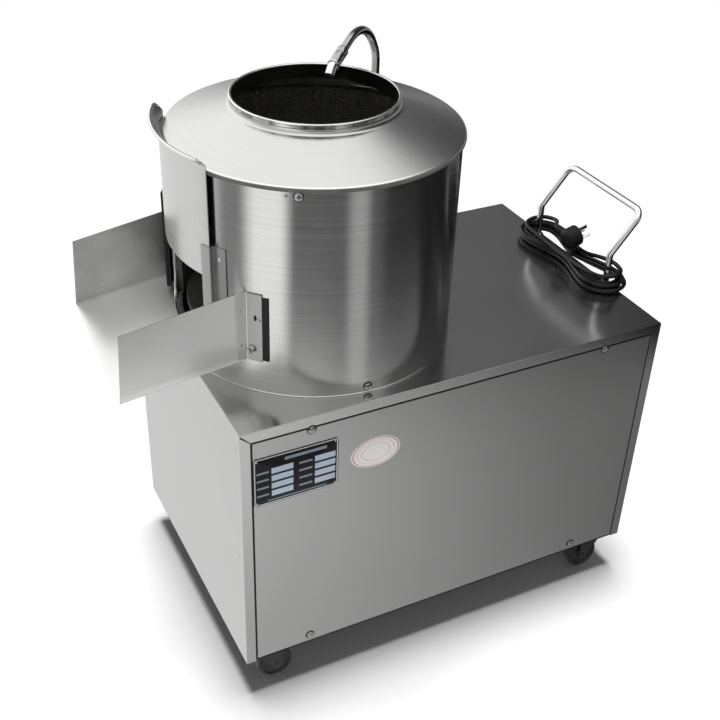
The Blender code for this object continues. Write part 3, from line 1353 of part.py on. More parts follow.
def hank_point(turn):
    """Centre of the wound cord after this many turns round the two posts.

    The winding runs inward on the cabinet's top for half of its turns, and outward again on that layer.
    A turn is half a run, a half circle round the near post, a run, the far half circle and half a run.
    """
    step = abs(HANK_TURNS / 2 - turn)
    climbed = min(1.0, max(0.0, (turn - HANK_TURNS / 2 + HANK_CLIMB / 2) / HANK_CLIMB))
    z = CABINET_TOP + HANK_CLEARANCE + CORD_RADIUS + HANK_LAYER * climbed * climbed * (3 - 2 * climbed)
    half_run = HANK_RUN_POINTS / (HANK_RUN_POINTS + HANK_CAP_POINTS) / 2
    done = (turn % 1.0) * 2
    way = -1 if done < 1 else 1
    since = done if done < 1 else done - 1
    if since < half_run or since > 1 - half_run:
        near_start = since < half_run
        share = (since if near_start else 1 - since) / half_run
        side = -way if near_start else way
        y = way * HANK_END_CENTRE * share
        return Vector((HANDLE_X + side * run_spread(step, share), y, z))
    end = run_spread(step, 1.0)
    angle = math.pi * (since - half_run) / (1 - 2 * half_run)
    x = HANDLE_X - way * end * math.cos(angle)
    return Vector((x, way * (HANK_END_CENTRE + end * math.sin(angle)), z))


def cord_report(points):
    """Length, tightest bend and least gap of the cord to itself, for the text that goes with the part."""
    bends = []
    for a, b, c in zip(points, points[1:], points[2:]):
        bends.append((c - a).length / 2 / max(MERGE, (b - a).angle(c - b)))
    fine, along = [points[0]], [0.0]
    for a, b in zip(points, points[1:]):
        pieces = max(1, round((b - a).length / CORD_RADIUS))
        for k in range(1, pieces + 1):
            fine.append(a.lerp(b, k / pieces))
            along.append(along[-1] + (b - a).length / pieces)
    gaps = []
    for i, a in enumerate(fine):
        for j in range(i + 1, len(fine)):
            if along[j] - along[i] > HANK_END_RADIUS * 2:
                gaps.append((a - fine[j]).length - CORD_RADIUS * 2)
    print(f"cord {along[-1]:.3f} m, tightest bend {min(bends):.4f} m, least gap to itself {min(gaps):.5f} m")


def cord():
    """Gland, mains cord wound round the handle's posts, and plug."""
    place(
        turned(
            "cord_gland",
            [
                (GLAND_TIP_RADIUS, GLAND_NUT_LENGTH + GLAND_TAPER_LENGTH),
                (GLAND_SPIGOT_RADIUS, GLAND_NUT_LENGTH),
                (GLAND_NUT_RADIUS, GLAND_NUT_LENGTH),
                (GLAND_NUT_RADIUS, GAP),
                (GLAND_SPIGOT_RADIUS, GAP),
                (GLAND_SPIGOT_RADIUS, -SHEET - GAP),
                (GLAND_NUT_RADIUS, -SHEET - GAP),
                (GLAND_NUT_RADIUS, -SHEET - GAP - LOCK_NUT_LENGTH),
                (CORD_RADIUS + GAP, -SHEET - GAP - LOCK_NUT_LENGTH),
                (CORD_RADIUS + GAP, GLAND_NUT_LENGTH + GLAND_TAPER_LENGTH),
            ],
            TINY_STEPS,
        ),
        BLACK_PLASTIC,
        MACHINE,
        (END_FACE, GLAND_Y, GLAND_Z),
        (0.0, math.pi / 2, 0.0),
    )
    start = hank_point(0.0)
    bend = []
    for k in range(LEAD_STEPS + 1):
        angle = math.pi / 2 * (1 - k / LEAD_STEPS)
        y = LEAD_RUN + LEAD_BEND * math.sin(angle)
        x = HANDLE_X + run_spread(HANK_TURNS / 2 + LEAD_SHARE, y / HANK_END_CENTRE)
        bend.append(Vector((x, y, start.z - LEAD_BEND * (1 - math.cos(angle)))))
    outer_x = END_FACE + GLAND_NUT_LENGTH + GLAND_TAPER_LENGTH + LEAD_BEND
    rise = GLAND_Z + LEAD_RISE
    corners = [
        (END_FACE - SHEET - LOCK_NUT_LENGTH, GLAND_Y, GLAND_Z),
        (outer_x, GLAND_Y, GLAND_Z),
        (outer_x, GLAND_Y, rise),
        (bend[0].x, GLAND_Y, rise + outer_x - bend[0].x),
        tuple(bend[0]),
    ]
    lead = filleted(corners, [LEAD_BEND] * 3, 4) + bend[1:]
    count = HANK_TURNS * 2 * (HANK_RUN_POINTS + HANK_CAP_POINTS)
    hank = [hank_point(HANK_TURNS * i / count) for i in range(count + 1)]
    top = Vector((HANDLE_X, 0.0, CABINET_TOP))
    plug_rise = HANK_CLEARANCE + CORD_RADIUS * 2 + HANK_LAYER + HANK_CLEARANCE
    plug_rise += PLUG_RADIUS * math.cos(PLUG_TILT) + PLUG_LENGTH / 2 * math.sin(PLUG_TILT)
    plug = Vector((PLUG_X, PLUG_Y, CABINET_TOP + plug_rise))
    neck_end = plug + Vector((0.0, PLUG_RADIUS + PLUG_NECK_LENGTH, 0.0))
    knots = [hank[-1]] + [top + Vector(point) for point in TAIL_KNOTS]
    knots.append(neck_end + Vector((0.0, CORD_RADIUS, 0.0)))
    tail = smooth_route(knots, CORD_SPACING) + [neck_end - Vector((0.0, PLUG_NECK_BORE - GAP, 0.0))]
    route = lead[:-1] + hank + tail[1:]
    place(tube("mains_cord", route, CORD_RADIUS, 1), BLACK_RUBBER, MACHINE)
    cord_report(route)

    half = PLUG_LENGTH / 2
    shoulder = PLUG_RADIUS / 3
    outline = [
        (0.0, half),
        (PLUG_RADIUS, half),
        (PLUG_RADIUS, shoulder - half),
        (PLUG_RADIUS - shoulder / 3, shoulder / 3 - half),
        (PLUG_RADIUS - shoulder, -half),
        (0.0, -half),
    ]
    body = turned("cord_plug", outline, SMALL_STEPS, closed=False)
    level = (0.0, math.pi / 2 - PLUG_TILT, 0.0)
    place(body, BLACK_RUBBER, MACHINE, plug, level)
    neck_high = PLUG_RADIUS + PLUG_NECK_LENGTH
    neck = bar("plug_neck", PLUG_NECK_RADIUS, 0.0, neck_high, steps=TINY_STEPS)
    bore = bar("plug_bore", CORD_RADIUS + GAP, neck_high - PLUG_NECK_BORE, neck_high + OVERRUN, steps=TINY_STEPS)
    pins = pin_blocks("plug_pins")
    for helper, operation, turn in ((neck, join, True), (bore, cut, True), (pins, join, False)):
        operation(body, helper, MACHINE)
        helper.location = plug
        helper.rotation_euler = (-math.pi / 2, 0.0, 0.0) if turn else level


def pin_blocks(name):
    """Three flat pins: one upright, and two that lean toward each other."""
    shape = bmesh.new()
    length = PIN_LENGTH + PLUG_LENGTH / 4
    middle = PLUG_LENGTH / 4 + length / 2
    for turn in (0.0, math.radians(120.0), math.radians(-120.0)):
        made = bmesh.ops.create_cube(shape, size=1.0)
        size = Matrix.Diagonal((PIN_WIDTH, PIN_WALL, length, 1.0))
        move = Matrix.Rotation(turn, 4, "Z") @ Matrix.Translation((-PIN_SPREAD, 0.0, middle)) @ size
        bmesh.ops.transform(shape, matrix=move, verts=made["verts"])
    return to_object(name, shape)


def build():
    cabinet()
    frame()
    bearings()
    drive()
    drum()
    disc()
    lid()
    gate()
    chute()
    spray_pipe()
    handle()
    casters()
    switch()
    cord()


build()
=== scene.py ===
"""Potato peeler machine on four swivel casters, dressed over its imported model.

Metres, +Z up. X runs along the cabinet, from the discharge chute at -X to the push handle at +X,
and the front panel faces -Y. The file is laid out as an add-on, and is run as a script.
"""

import functools
import json
import math

import bmesh
import bpy
import numpy as np
from mathutils import Matrix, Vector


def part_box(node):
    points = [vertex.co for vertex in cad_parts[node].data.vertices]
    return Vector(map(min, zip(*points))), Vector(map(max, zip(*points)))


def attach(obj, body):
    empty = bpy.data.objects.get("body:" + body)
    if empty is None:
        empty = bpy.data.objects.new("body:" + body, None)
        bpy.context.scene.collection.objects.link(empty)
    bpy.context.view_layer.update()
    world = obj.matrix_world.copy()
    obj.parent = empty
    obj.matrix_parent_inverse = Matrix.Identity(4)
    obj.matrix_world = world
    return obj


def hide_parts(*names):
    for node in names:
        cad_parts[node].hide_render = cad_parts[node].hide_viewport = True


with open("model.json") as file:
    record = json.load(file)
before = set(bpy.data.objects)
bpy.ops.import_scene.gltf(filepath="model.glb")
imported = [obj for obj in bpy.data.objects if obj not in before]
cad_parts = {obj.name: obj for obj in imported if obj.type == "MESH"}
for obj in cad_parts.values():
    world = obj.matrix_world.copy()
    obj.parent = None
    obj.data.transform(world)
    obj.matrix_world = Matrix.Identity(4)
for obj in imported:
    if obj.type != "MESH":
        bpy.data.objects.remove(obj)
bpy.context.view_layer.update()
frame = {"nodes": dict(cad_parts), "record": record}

bl_info = {
    "name": "Potato Peeler Machine",
    "version": (1, 0, 0),
    "blender": (4, 5, 0),
    "location": "3D View > Sidebar > Peeler",
    "description": "Builds the surfaces and finishes of a potato peeler machine over its packed model",
    "category": "Object",
}

NODES = frame["nodes"]
BODY = {node: body for body, nodes in frame["record"]["behaviour"]["bodies"].items() for node in nodes}
MACHINE = "machine_body"


def corners(node):
    """Lowest and highest corner of a node at rest."""
    low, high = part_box(node)
    return np.array(low), np.array(high)


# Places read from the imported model
SHELL_LOW, SHELL_HIGH = corners("cabinet_shell")
DRUM_LOW, DRUM_HIGH = corners("drum_shell")
CABINET_X = (SHELL_LOW[0] + SHELL_HIGH[0]) / 2
CABINET_TOP = SHELL_HIGH[2]
FRONT_Y = SHELL_LOW[1]
BACK_Y = SHELL_HIGH[1]
END_X = SHELL_HIGH[0]
DRUM_X = float(DRUM_LOW[0] + DRUM_HIGH[0]) / 2
DRUM_RADIUS = (DRUM_HIGH[0] - DRUM_LOW[0]) / 2

# Drum, lid and chute. GAP is the air between two pieces that touch, and SHEET is how thick a sheet is.
GAP = 0.0003
SHEET = 0.0015
DISCHARGE = math.radians(177.0)
OPENING_HALF = math.asin(0.078 / (DRUM_RADIUS - 0.001))
OPENING_LOW = CABINET_TOP + 0.041
OPENING_HIGH = CABINET_TOP + 0.180
LID_SEAT = DRUM_HIGH[2] + GAP
LID_RADIUS = 0.1965
LID_RISE = 0.0305
LID_TOP = LID_SEAT + SHEET + LID_RISE
NECK_RADIUS = 0.1082
COLLAR_TOP = LID_TOP + 0.0125
GATE_HALF = math.radians(28.3)
CHUTE_HALF = 0.130
SHAFT_BORE = 0.0103
PIPE_ANGLE = math.radians(40.7)
PIPE_REACH = 0.208

# Label on the front
LABEL_X = CABINET_X - 0.136
LABEL_Z = SHELL_LOW[2] + 0.324
LABEL_SHARE = 0.66

# Push handle, and the cord that is wound round its posts: each turn lies HANK_PITCH outside the last,
# and the second layer HANK_LAYER above the first. The lead drops over the edge to the gland.
HANDLE_X = CABINET_X + 0.318
HANDLE_HALF_SPAN = 0.0906
HANK_TURNS = 4
HANK_RUN_SHARE = 8 / 12
HANK_CLIMB = 0.5
HANK_END_CENTRE = 0.0810
HANK_END_RADIUS = 0.0210
HANK_WAIST = 0.0050
HANK_PITCH = 0.0076
HANK_LAYER = 0.0073
HANK_CLEARANCE = 0.0005
LEAD_BEND = 0.0275
LEAD_RISE = 0.046
LEAD_RUN = 0.008
LEAD_SHARE = 0.08
LEAD_OUT = 0.028
TAIL_KNOTS = (
    (0.0205, -0.006, 0.0114), (0.0222, -0.017, 0.0125), (0.0260, -0.034, 0.0160), (0.0275, -0.052, 0.0200),
    (0.0265, -0.069, 0.0235), (0.0235, -0.085, 0.0255), (0.0166, -0.1016, 0.0260), (0.0, -0.1085, 0.0255),
    (-0.0166, -0.1016, 0.0245), (-0.0235, -0.085, 0.0230), (-0.0240, -0.045, 0.0195), (-0.0240, 0.0, 0.0190),
    (-0.0240, 0.045, 0.0190), (-0.0235, 0.085, 0.0195), (-0.0166, 0.1016, 0.0205), (0.0, 0.1085, 0.0220),
    (0.0166, 0.1016, 0.0240), (0.0235, 0.085, 0.0265), (0.0210, 0.0725, 0.0288), (0.0130, 0.0628, 0.0308),
    (0.0050, 0.0533, 0.0328),
)
PLUG_RADIUS = 0.0165
PLUG_LENGTH = 0.025
PLUG_NECK = 0.017
PLUG_TILT = math.radians(14.0)
GLAND = np.array((END_X, LEAD_RUN + LEAD_BEND, CABINET_TOP - 0.1513))

UP = (0.0, 0.0, 1.0)
ACROSS = (0.0, 1.0, 0.0)
TO_FRONT = (0.0, -1.0, 0.0)
SQUARE = np.array([(-1, -1), (1, -1), (1, 1), (-1, 1)])
DEGREES = 180 / math.pi


def size_property(name, description, default):
    """One length that a user may change."""
    return bpy.props.FloatProperty(
        name=name, description=description, default=default, unit="LENGTH", precision=5
    )


def colour_property(name, description, default):
    """One colour that a user may change."""
    return bpy.props.FloatVectorProperty(
        name=name, description=description, default=default, subtype="COLOR", size=3, min=0.0, max=1.0
    )


class PeelerSizes(bpy.types.PropertyGroup):
    """Sizes of the machine's own details."""

    edge: size_property("Sheet edge", "Rounding of cut sheet edges", 0.0004)
    fold: size_property("Sheet fold", "Outer radius of a folded sheet", 0.003)
    bead: size_property("Collar bead", "Rounding of the rolled collar", 0.0014)
    flare: size_property("Lip flare", "Radius at the foot of the gate's lip", 0.007)
    cord: size_property("Cord", "Diameter of the mains cord", 0.0065)
    screw: size_property("Screw head", "Radius of a panel screw's head", 0.0056)
    rivet: size_property("Rivet head", "Radius of a rivet's head", 0.0028)
    label: size_property("Oval label", "Length of the oval label", 0.074)
    tyre: size_property("Tyre rounding", "Rounding of a caster's tyre", 0.004)


class PeelerColours(bpy.types.PropertyGroup):
    """Colours of the machine's finishes."""

    sheet: colour_property("Sheet steel", "Brushed sheet of the cabinet and drum", (0.60, 0.60, 0.595))
    lid: colour_property("Lid steel", "Spun sheet of the lid", (0.66, 0.66, 0.655))
    polished: colour_property("Polished steel", "Collar and pipe", (0.74, 0.74, 0.73))
    chrome: colour_property("Chrome", "Push handle and nozzle", (0.82, 0.82, 0.82))
    zinc: colour_property("Zinc", "Frame and inner plates", (0.46, 0.47, 0.48))
    grit: colour_property("Grit", "Abrasive lining and disc", (0.130, 0.127, 0.120))
    rubber: colour_property("Rubber", "Cord, tyres and seals", (0.006, 0.006, 0.006))
    plastic: colour_property("Black plastic", "Gland and switch frame", (0.012, 0.012, 0.013))
    caster: colour_property("Caster black", "Forks and plates of the casters", (0.012, 0.012, 0.013))
    casting: colour_property("Cast iron", "Pulleys and bearing housings", (0.12, 0.125, 0.13))
    paint: colour_property("Motor paint", "Motor and its terminal box", (0.10, 0.16, 0.22))
    rocker: colour_property("Rocker", "Switch rocker", (0.50, 0.03, 0.02))
    plate: colour_property("Nameplate", "Ground of the bare nameplate", (0.006, 0.006, 0.008))
    field: colour_property("Plate fields", "Blank fields on the nameplate", (0.50, 0.58, 0.70))
    label: colour_property("Label", "Ground of the oval label", (0.90, 0.86, 0.86))
    ring: colour_property("Label ring", "Ring on the oval label", (0.45, 0.10, 0.12))


def sizes():
    """The sizes as they are set in the scene."""
    return bpy.context.scene.peeler_sizes


def colours():
    """The colours as they are set in the scene."""
    return bpy.context.scene.peeler_colours


def arithmetic(operation, swapped=False):
    """A method that adds a Math node on a value and one more."""

    def method(self, other):
        return self.maths(operation, other, self) if swapped else self.maths(operation, self, other)

    return method


class Value:
    """A number or vector that varies over a surface: a socket whose arithmetic adds Math nodes."""

    __add__ = arithmetic("ADD")
    __radd__ = arithmetic("ADD", swapped=True)
    __sub__ = arithmetic("SUBTRACT")
    __rsub__ = arithmetic("SUBTRACT", swapped=True)
    __mul__ = arithmetic("MULTIPLY")
    __rmul__ = arithmetic("MULTIPLY", swapped=True)
    __truediv__ = arithmetic("DIVIDE")
    __pow__ = arithmetic("POWER")
    largest = arithmetic("MAXIMUM")
    angle_over = arithmetic("ARCTAN2")

    def __init__(self, graph, socket):
        self.graph = graph
        self.socket = socket

    def maths(self, operation, *values):
        """A Math node on these values."""
        return self.graph.add("ShaderNodeMath", {"operation": operation}, dict(enumerate(values)))

    def size(self):
        """How far from 0 it is."""
        return self.maths("ABSOLUTE", self)

    def fraction(self):
        """How far past a whole number it is."""
        return self.maths("FRACT", self)

    def rise(self, low, high):
        """0 below low, 1 above high, and a smooth step between them."""
        values = {"Value": self, "From Min": low, "From Max": high, "To Min": 0.0, "To Max": 1.0}
        return self.graph.add("ShaderNodeMapRange", {"interpolation_type": "SMOOTHSTEP"}, values)

    def zone(self, low, full, fall, high):
        """1 from full to fall, 0 below low and above high, and smooth steps between."""
        return self.rise(low, full) * (1 - self.rise(fall, high))

    def band(self, low, high, soft):
        """1 from low to high, with soft flanks inside them."""
        return self.zone(low, low + soft, high - soft, high)


class Graph:
    """The nodes of one material or world."""

    def __init__(self, tree, coordinate):
        self.tree = tree
        self.place = self.add("ShaderNodeTexCoord", output=coordinate)

    def put(self, socket, value):
        """Links a value to a socket, or sets the socket to a number."""
        if isinstance(value, Value):
            self.tree.links.new(value.socket, socket)
        elif hasattr(value, "__len__") and socket.type == "RGBA" and len(value) == 3:
            socket.default_value = (*value, 1.0)
        else:
            socket.default_value = value

    def add(self, kind, settings=None, values=None, output=0):
        """One node: its settings first, then its sockets' values or links."""
        node = self.tree.nodes.new(kind)
        for name, value in (settings or {}).items():
            setattr(node, name, value)
        for name, value in (values or {}).items():
            self.put(node.inputs[name], value)
        return Value(self, node.outputs[output])

    def axes(self):
        """The three parts of the place on the object."""
        node = self.tree.nodes.new("ShaderNodeSeparateXYZ")
        self.put(node.inputs[0], self.place)
        return [Value(self, socket) for socket in node.outputs]

    def vector(self, operation, *values, output=0):
        """A Vector Math node on these values."""
        return self.add("ShaderNodeVectorMath", {"operation": operation}, dict(enumerate(values)), output)

    def noise(self, stretch, detail=2.0, roughness=0.5):
        """Noise about 0.5 whose grain is one over stretch metres long each way."""
        point = self.vector("MULTIPLY", self.place, stretch)
        values = {"Vector": point, "Scale": 1.0, "Detail": detail, "Roughness": roughness}
        return self.add("ShaderNodeTexNoise", {}, values)

    def lines(self, along, detail=3.0):
        """Noise along one number: lines across its direction."""
        values = {"W": along, "Scale": 1.0, "Detail": detail, "Roughness": 0.6}
        return self.add("ShaderNodeTexNoise", {"noise_dimensions": "1D"}, values)

    def cells(self, count, output=0):
        """Cells one over count metres wide: distance to the nearest centre, or its random colour."""
        point = self.vector("MULTIPLY", self.place, (count, count, count))
        return self.add("ShaderNodeTexVoronoi", {}, {"Vector": point, "Scale": 1.0}, output)

    def cell_tones(self, count):
        """One random tone for each cell."""
        return self.vector("DOT_PRODUCT", self.cells(count, "Color"), (0.33, 0.33, 0.33), output="Value")

    def blend(self, share, first, second):
        """A colour between two colours."""
        return self.add("ShaderNodeMix", {"data_type": "RGBA"}, {0: share, 6: first, 7: second}, 2)

    def scaled(self, colour, gain):
        """A colour times a number that varies."""
        return self.add("ShaderNodeVectorMath", {"operation": "SCALE"}, {0: colour, "Scale": gain})

    def light_path(self, ray):
        """1 for rays of this kind, or how often a ray has bounced."""
        return self.add("ShaderNodeLightPath", output=ray)


class Finish(Graph):
    """One procedural material: a Principled shader, and what varies over it."""

    def __init__(self, name, roughness=0.5, metallic=0.0, **constants):
        self.material = bpy.data.materials.new(name)
        self.material.use_nodes = True
        super().__init__(self.material.node_tree, "Object")
        self.shader = self.tree.nodes["Principled BSDF"]
        self.put(self.shader.inputs["Roughness"], roughness)
        self.put(self.shader.inputs["Metallic"], metallic)
        for socket, value in constants.items():
            self.put(self.shader.inputs[socket.replace("_", " ")], value)

    def given(self, socket):
        """What already feeds a socket of the shader."""
        return Value(self, self.shader.inputs[socket].links[0].from_socket)

    def paint(self, colour):
        """Feeds the colour."""
        self.put(self.shader.inputs["Base Color"], colour)

    def gloss(self, roughness):
        """Feeds the roughness."""
        self.put(self.shader.inputs["Roughness"], roughness)

    def metal(self, share):
        """Feeds how metallic the surface is."""
        self.put(self.shader.inputs["Metallic"], share)

    def relief(self, height, depth):
        """Bumps of this height, which runs from 0 to 1, times a depth in metres."""
        bump = self.add("ShaderNodeBump", {}, {"Height": height, "Distance": depth, "Strength": 1.0})
        self.put(self.shader.inputs["Normal"], bump)

    def sideways(self):
        """How far each point lies across the discharge side."""
        x, y, _ = self.axes()
        return y * math.cos(DISCHARGE) - (x - DRUM_X) * math.sin(DISCHARGE)


def kept(maker):
    """A finish that is made once, and is the same material after that."""
    return functools.cache(lambda: maker().material)


def kept_plain(maker, name, colour, *values, **constants):
    """A kept finish with nothing more to it than its maker's numbers, on one of the scene's colours."""
    return kept(lambda: maker(name, getattr(colours(), colour), *values, **constants))


def brushed(name, colour, roughness, stretch, streak, smear=0.08, gain=1.0, **constants):
    """Brushed steel: fine streaks along the grain, and broad soft smears of grease and polish."""
    made = Finish(name, metallic=1.0, **constants)
    fine = made.noise(stretch, 3.0, 0.6)
    broad = made.noise((7.0, 7.0, 9.0), 3.0, 0.55)
    marks = made.noise((60.0, 60.0, 70.0), 4.0, 0.6).rise(0.58, 0.72)
    tone = (1.0 - streak) + fine * (streak * 1.5) + (broad - 0.5) * smear - marks * 0.015
    made.paint(made.scaled([gain * part for part in colour], tone))
    made.gloss(roughness + (fine - 0.5) * 0.06 + (broad - 0.5) * 0.07 + marks * 0.02)
    made.relief(fine, 0.000004)
    return made


def matt(name, colour, roughness, grain, depth, dust=0.25, **constants):
    """A moulded or painted surface: fine texture, and dust that greys it a little in patches."""
    made = Finish(name, **constants)
    fine = made.noise((grain, grain, grain))
    broad = made.noise((16.0, 16.0, 16.0), 4.0).rise(0.45, 0.75)
    made.paint(made.scaled(colour, 1.0 + (fine - 0.5) * 0.3 + broad * dust))
    made.gloss(roughness + (fine - 0.5) * 0.10 + broad * 0.08)
    made.relief(fine, depth)
    return made


# Brushed steel: name, colour, roughness, grain, streak and smear
drum_steel = kept_plain(
    brushed, "drum sheet", "sheet", 0.20, (4.0, 4.0, 1100.0), 0.24, 0.03,
    Anisotropic=0.9, Anisotropic_Rotation=0.25,
)
cabinet_steel = kept_plain(brushed, "cabinet sheet", "sheet", 0.19, (4.0, 480.0, 480.0), 0.04)
panel_steel = kept_plain(brushed, "panel sheet", "sheet", 0.36, (5.0, 500.0, 560.0), 0.03, 0.05)
gate_steel = kept_plain(brushed, "gate sheet", "lid", 0.28, (4.0, 4.0, 560.0), 0.06)
guide_steel = kept_plain(brushed, "guide strip", "lid", 0.33, (4.0, 4.0, 500.0), 0.10, gain=0.70)
machined_steel = kept_plain(brushed, "turned steel", "sheet", 0.30, (60.0, 60.0, 1500.0), 0.14)

# Moulded or painted: name, colour, roughness, grain and depth
rubber = kept_plain(matt, "black rubber", "rubber", 0.42, 1500.0, 0.00006, Specular_IOR_Level=0.28)
cord_jacket = kept_plain(matt, "cord jacket", "rubber", 0.17, 900.0, 0.00003, Specular_IOR_Level=0.30)
tyre_rubber = kept_plain(matt, "tyre rubber", "rubber", 0.50, 1100.0, 0.00010, dust=0.6)
black_plastic = kept_plain(matt, "black plastic", "plastic", 0.38, 1800.0, 0.00004)
caster_black = kept_plain(matt, "caster coating", "caster", 0.32, 700.0, 0.00004, dust=0.5)
red_plastic = kept_plain(matt, "red plastic", "rocker", 0.24, 1600.0, 0.00002)
cast_iron = kept_plain(matt, "cast iron", "casting", 0.55, 420.0, 0.0003, dust=0.3, Metallic=0.7)
motor_paint = kept_plain(matt, "motor enamel", "paint", 0.40, 600.0, 0.00008)


@kept
def chute_steel():
    """Chute sheet, satin: painted brighter than the cabinet's sheet as painted light, its far wall painted
    darker as painted shade and duller, and the rest scuffed.
    """
    # Painted light: the gain of 1.42 brightens the whole sheet
    made = brushed("chute sheet", colours().sheet, 0.30, (6.0, 500.0, 500.0), 0.05, 0.16, gain=1.42)
    across = made.sideways()
    wear_and_shade = 1 - across.rise(-CHUTE_HALF + 0.0025, -CHUTE_HALF + 0.0055)
    tone = made.given("Base Color")
    rough = made.given("Roughness")
    shade_blotches = made.noise((14.0, 14.0, 20.0), 4.0, 0.6).rise(0.40, 0.62)
    scuffed = across.rise(-CHUTE_HALF + 0.0055, -CHUTE_HALF + 0.0075)
    # Painted shade: the far wall's colour is darkened, less so in blotches
    made.paint(made.scaled(tone, 1 - wear_and_shade * (0.40 - shade_blotches * 0.10)))
    made.gloss(rough + wear_and_shade * 0.14)
    made.metal(1 - scuffed * 0.12)
    return made


@kept
def shaded_cut_edge():
    """Sawn edge of a sheet: dull, and painted dark grey as painted shade along the chute's edges."""
    made = Finish("cut edge", metallic=0.9)
    saw = made.noise((700.0, 700.0, 700.0), 3.0)
    made.paint(made.scaled((0.17, 0.17, 0.17), 0.7 + saw * 0.6))
    made.gloss(0.42 + saw * 0.2)
    return made


@kept
def bracket_steel():
    """Brackets: painted light on the leg along the chute, and painted shade, duller, where they lie on the
    drum.
    """
    made = Finish("bracket sheet", metallic=1.0)
    shaded_drum_side = made.sideways().size().rise(CHUTE_HALF + 0.0026, CHUTE_HALF + 0.0034)
    fine = made.noise((400.0, 400.0, 30.0), 3.0, 0.6)
    # Painted light on the leg, and painted shade on the drum side
    made.paint(made.scaled(colours().sheet, (1.15 - shaded_drum_side * 0.50) * (0.88 + fine * 0.24)))
    made.gloss(0.32 + shaded_drum_side * 0.08 + (fine - 0.5) * 0.10)
    made.relief(fine, 0.00001)
    return made


@kept
def screw_steel():
    """Screw heads: dark polish with a little grime."""
    made = Finish("screw heads", metallic=1.0)
    grime = made.noise((300.0, 300.0, 300.0), 3.0)
    made.paint(made.scaled(colours().polished, 0.50 + grime * 0.30))
    made.gloss(0.12 + grime * 0.10)
    return made


@kept
def collar_steel():
    """Rolled collar, polished by hand: painted reflections change its tone in patches round the mouth, and a
    painted highlight brightens its crest.

    The angle round the mouth is counted from the camera's side, so its jump is behind.
    """
    made = Finish("collar steel", metallic=1.0)
    x, y, z = made.axes()
    cos, sin = math.cos(math.radians(-118.0)), math.sin(math.radians(-118.0))
    away = x - DRUM_X
    turn = (y * cos - away * sin).angle_over(away * cos + y * sin)
    outside = ((away * away + y * y) ** 0.5).rise(0.1068, 0.1076)
    # Painted reflections in patches round the mouth
    reflection_patches = made.lines(turn * 4.2 + 3.0, 1.0).rise(0.42, 0.58) * outside
    wiped = made.noise((90.0, 90.0, 25.0), 4.0)
    tone = 0.42 + reflection_patches * 0.66 + (wiped - 0.5) * 0.10
    top = float(COLLAR_TOP)
    # Painted highlight on the crest
    crest_highlight = z.rise(top - 0.0022, top - 0.0010)
    made.paint(made.scaled(colours().polished, tone + crest_highlight * (1.30 - tone)))
    made.gloss(0.12 + (wiped - 0.5) * 0.05 + crest_highlight * 0.12)
    return made


@kept
def pipe_steel():
    """Drawn tube: a darker polish with faint lines along it."""
    made = Finish("drawn tube", metallic=1.0)
    wiped = made.noise((120.0, 120.0, 40.0), 4.0)
    broad = made.noise((30.0, 30.0, 30.0))
    made.paint(made.scaled(colours().polished, 0.46 + wiped * 0.26))
    made.gloss(0.08 + (wiped - 0.5) * 0.06 + broad * 0.04)
    made.relief(broad, 0.00003)
    return made


@kept
def spun_steel():
    """Lid sheet: fine rings left by spinning, a painted highlight on the rim, and an underside that the work
    has splashed.
    """
    made = Finish("spun sheet", metallic=1.0, Anisotropic=0.5)
    away = made.vector("SUBTRACT", made.place, (DRUM_X, 0.0, 0.0))
    flat = made.vector("MULTIPLY", away, (1.0, 1.0, 0.0))
    reach = made.vector("LENGTH", flat, output="Value")
    rings = made.lines(reach * 1600.0)
    bands = made.lines(reach * 160.0, 2.0)
    broad = made.noise((8.0, 8.0, 8.0), 3.0)
    drop = made.axes()[2] - float(LID_TOP)
    slope = LID_RISE / (LID_RADIUS - NECK_RADIUS)
    under = (0 - drop - (reach - NECK_RADIUS) * slope).rise(0.0005, 0.0012)
    tone = 0.93 + rings * 0.10 + (bands - 0.5) * 0.06 + (broad - 0.5) * 0.06
    # Painted highlight: the rim's rounding is brightened
    tone = tone * (1 + reach.rise(LID_RADIUS - 0.0033, LID_RADIUS - 0.0021) * 0.44)
    bare = made.scaled(colours().lid, tone)
    splashed = made.scaled((0.16, 0.155, 0.15), 0.5 + made.noise((60.0, 60.0, 60.0), 4.0))
    made.paint(made.blend(under, bare, splashed))
    made.metal(1 - under * 0.7)
    made.gloss(0.24 + (rings - 0.5) * 0.08 + (broad - 0.5) * 0.08 + under * 0.3)
    made.relief(rings, 0.000009)
    return made


@kept
def polished_steel():
    """Polished steel with faint wiping marks."""
    made = Finish("polished steel", metallic=1.0)
    wiped = made.noise((90.0, 90.0, 25.0), 4.0)
    broad = made.noise((25.0, 25.0, 25.0))
    made.paint(made.scaled(colours().polished, 0.95 + wiped * 0.08))
    made.gloss(0.10 + (wiped - 0.5) * 0.05 + broad * 0.05)
    made.relief(broad, 0.00003)
    return made


@kept
def chrome_plate():
    """Chrome with a faint haze."""
    made = Finish("chrome plate", metallic=1.0)
    haze = made.noise((45.0, 45.0, 45.0), 3.0)
    made.paint(made.scaled(colours().chrome, 0.96 + haze * 0.06))
    made.gloss(0.05 + haze * 0.04)
    return made


@kept
def zinc():
    """Galvanised steel: grey spangles of a few millimetres."""
    made = Finish("zinc", metallic=0.9)
    tone = made.cell_tones(210.0)
    dust = made.noise((30.0, 30.0, 30.0), 4.0)
    made.paint(made.scaled(colours().zinc, 0.80 + tone * 0.34 + (dust - 0.5) * 0.12))
    made.gloss(0.42 + tone * 0.12)
    made.relief(dust, 0.00005)
    return made


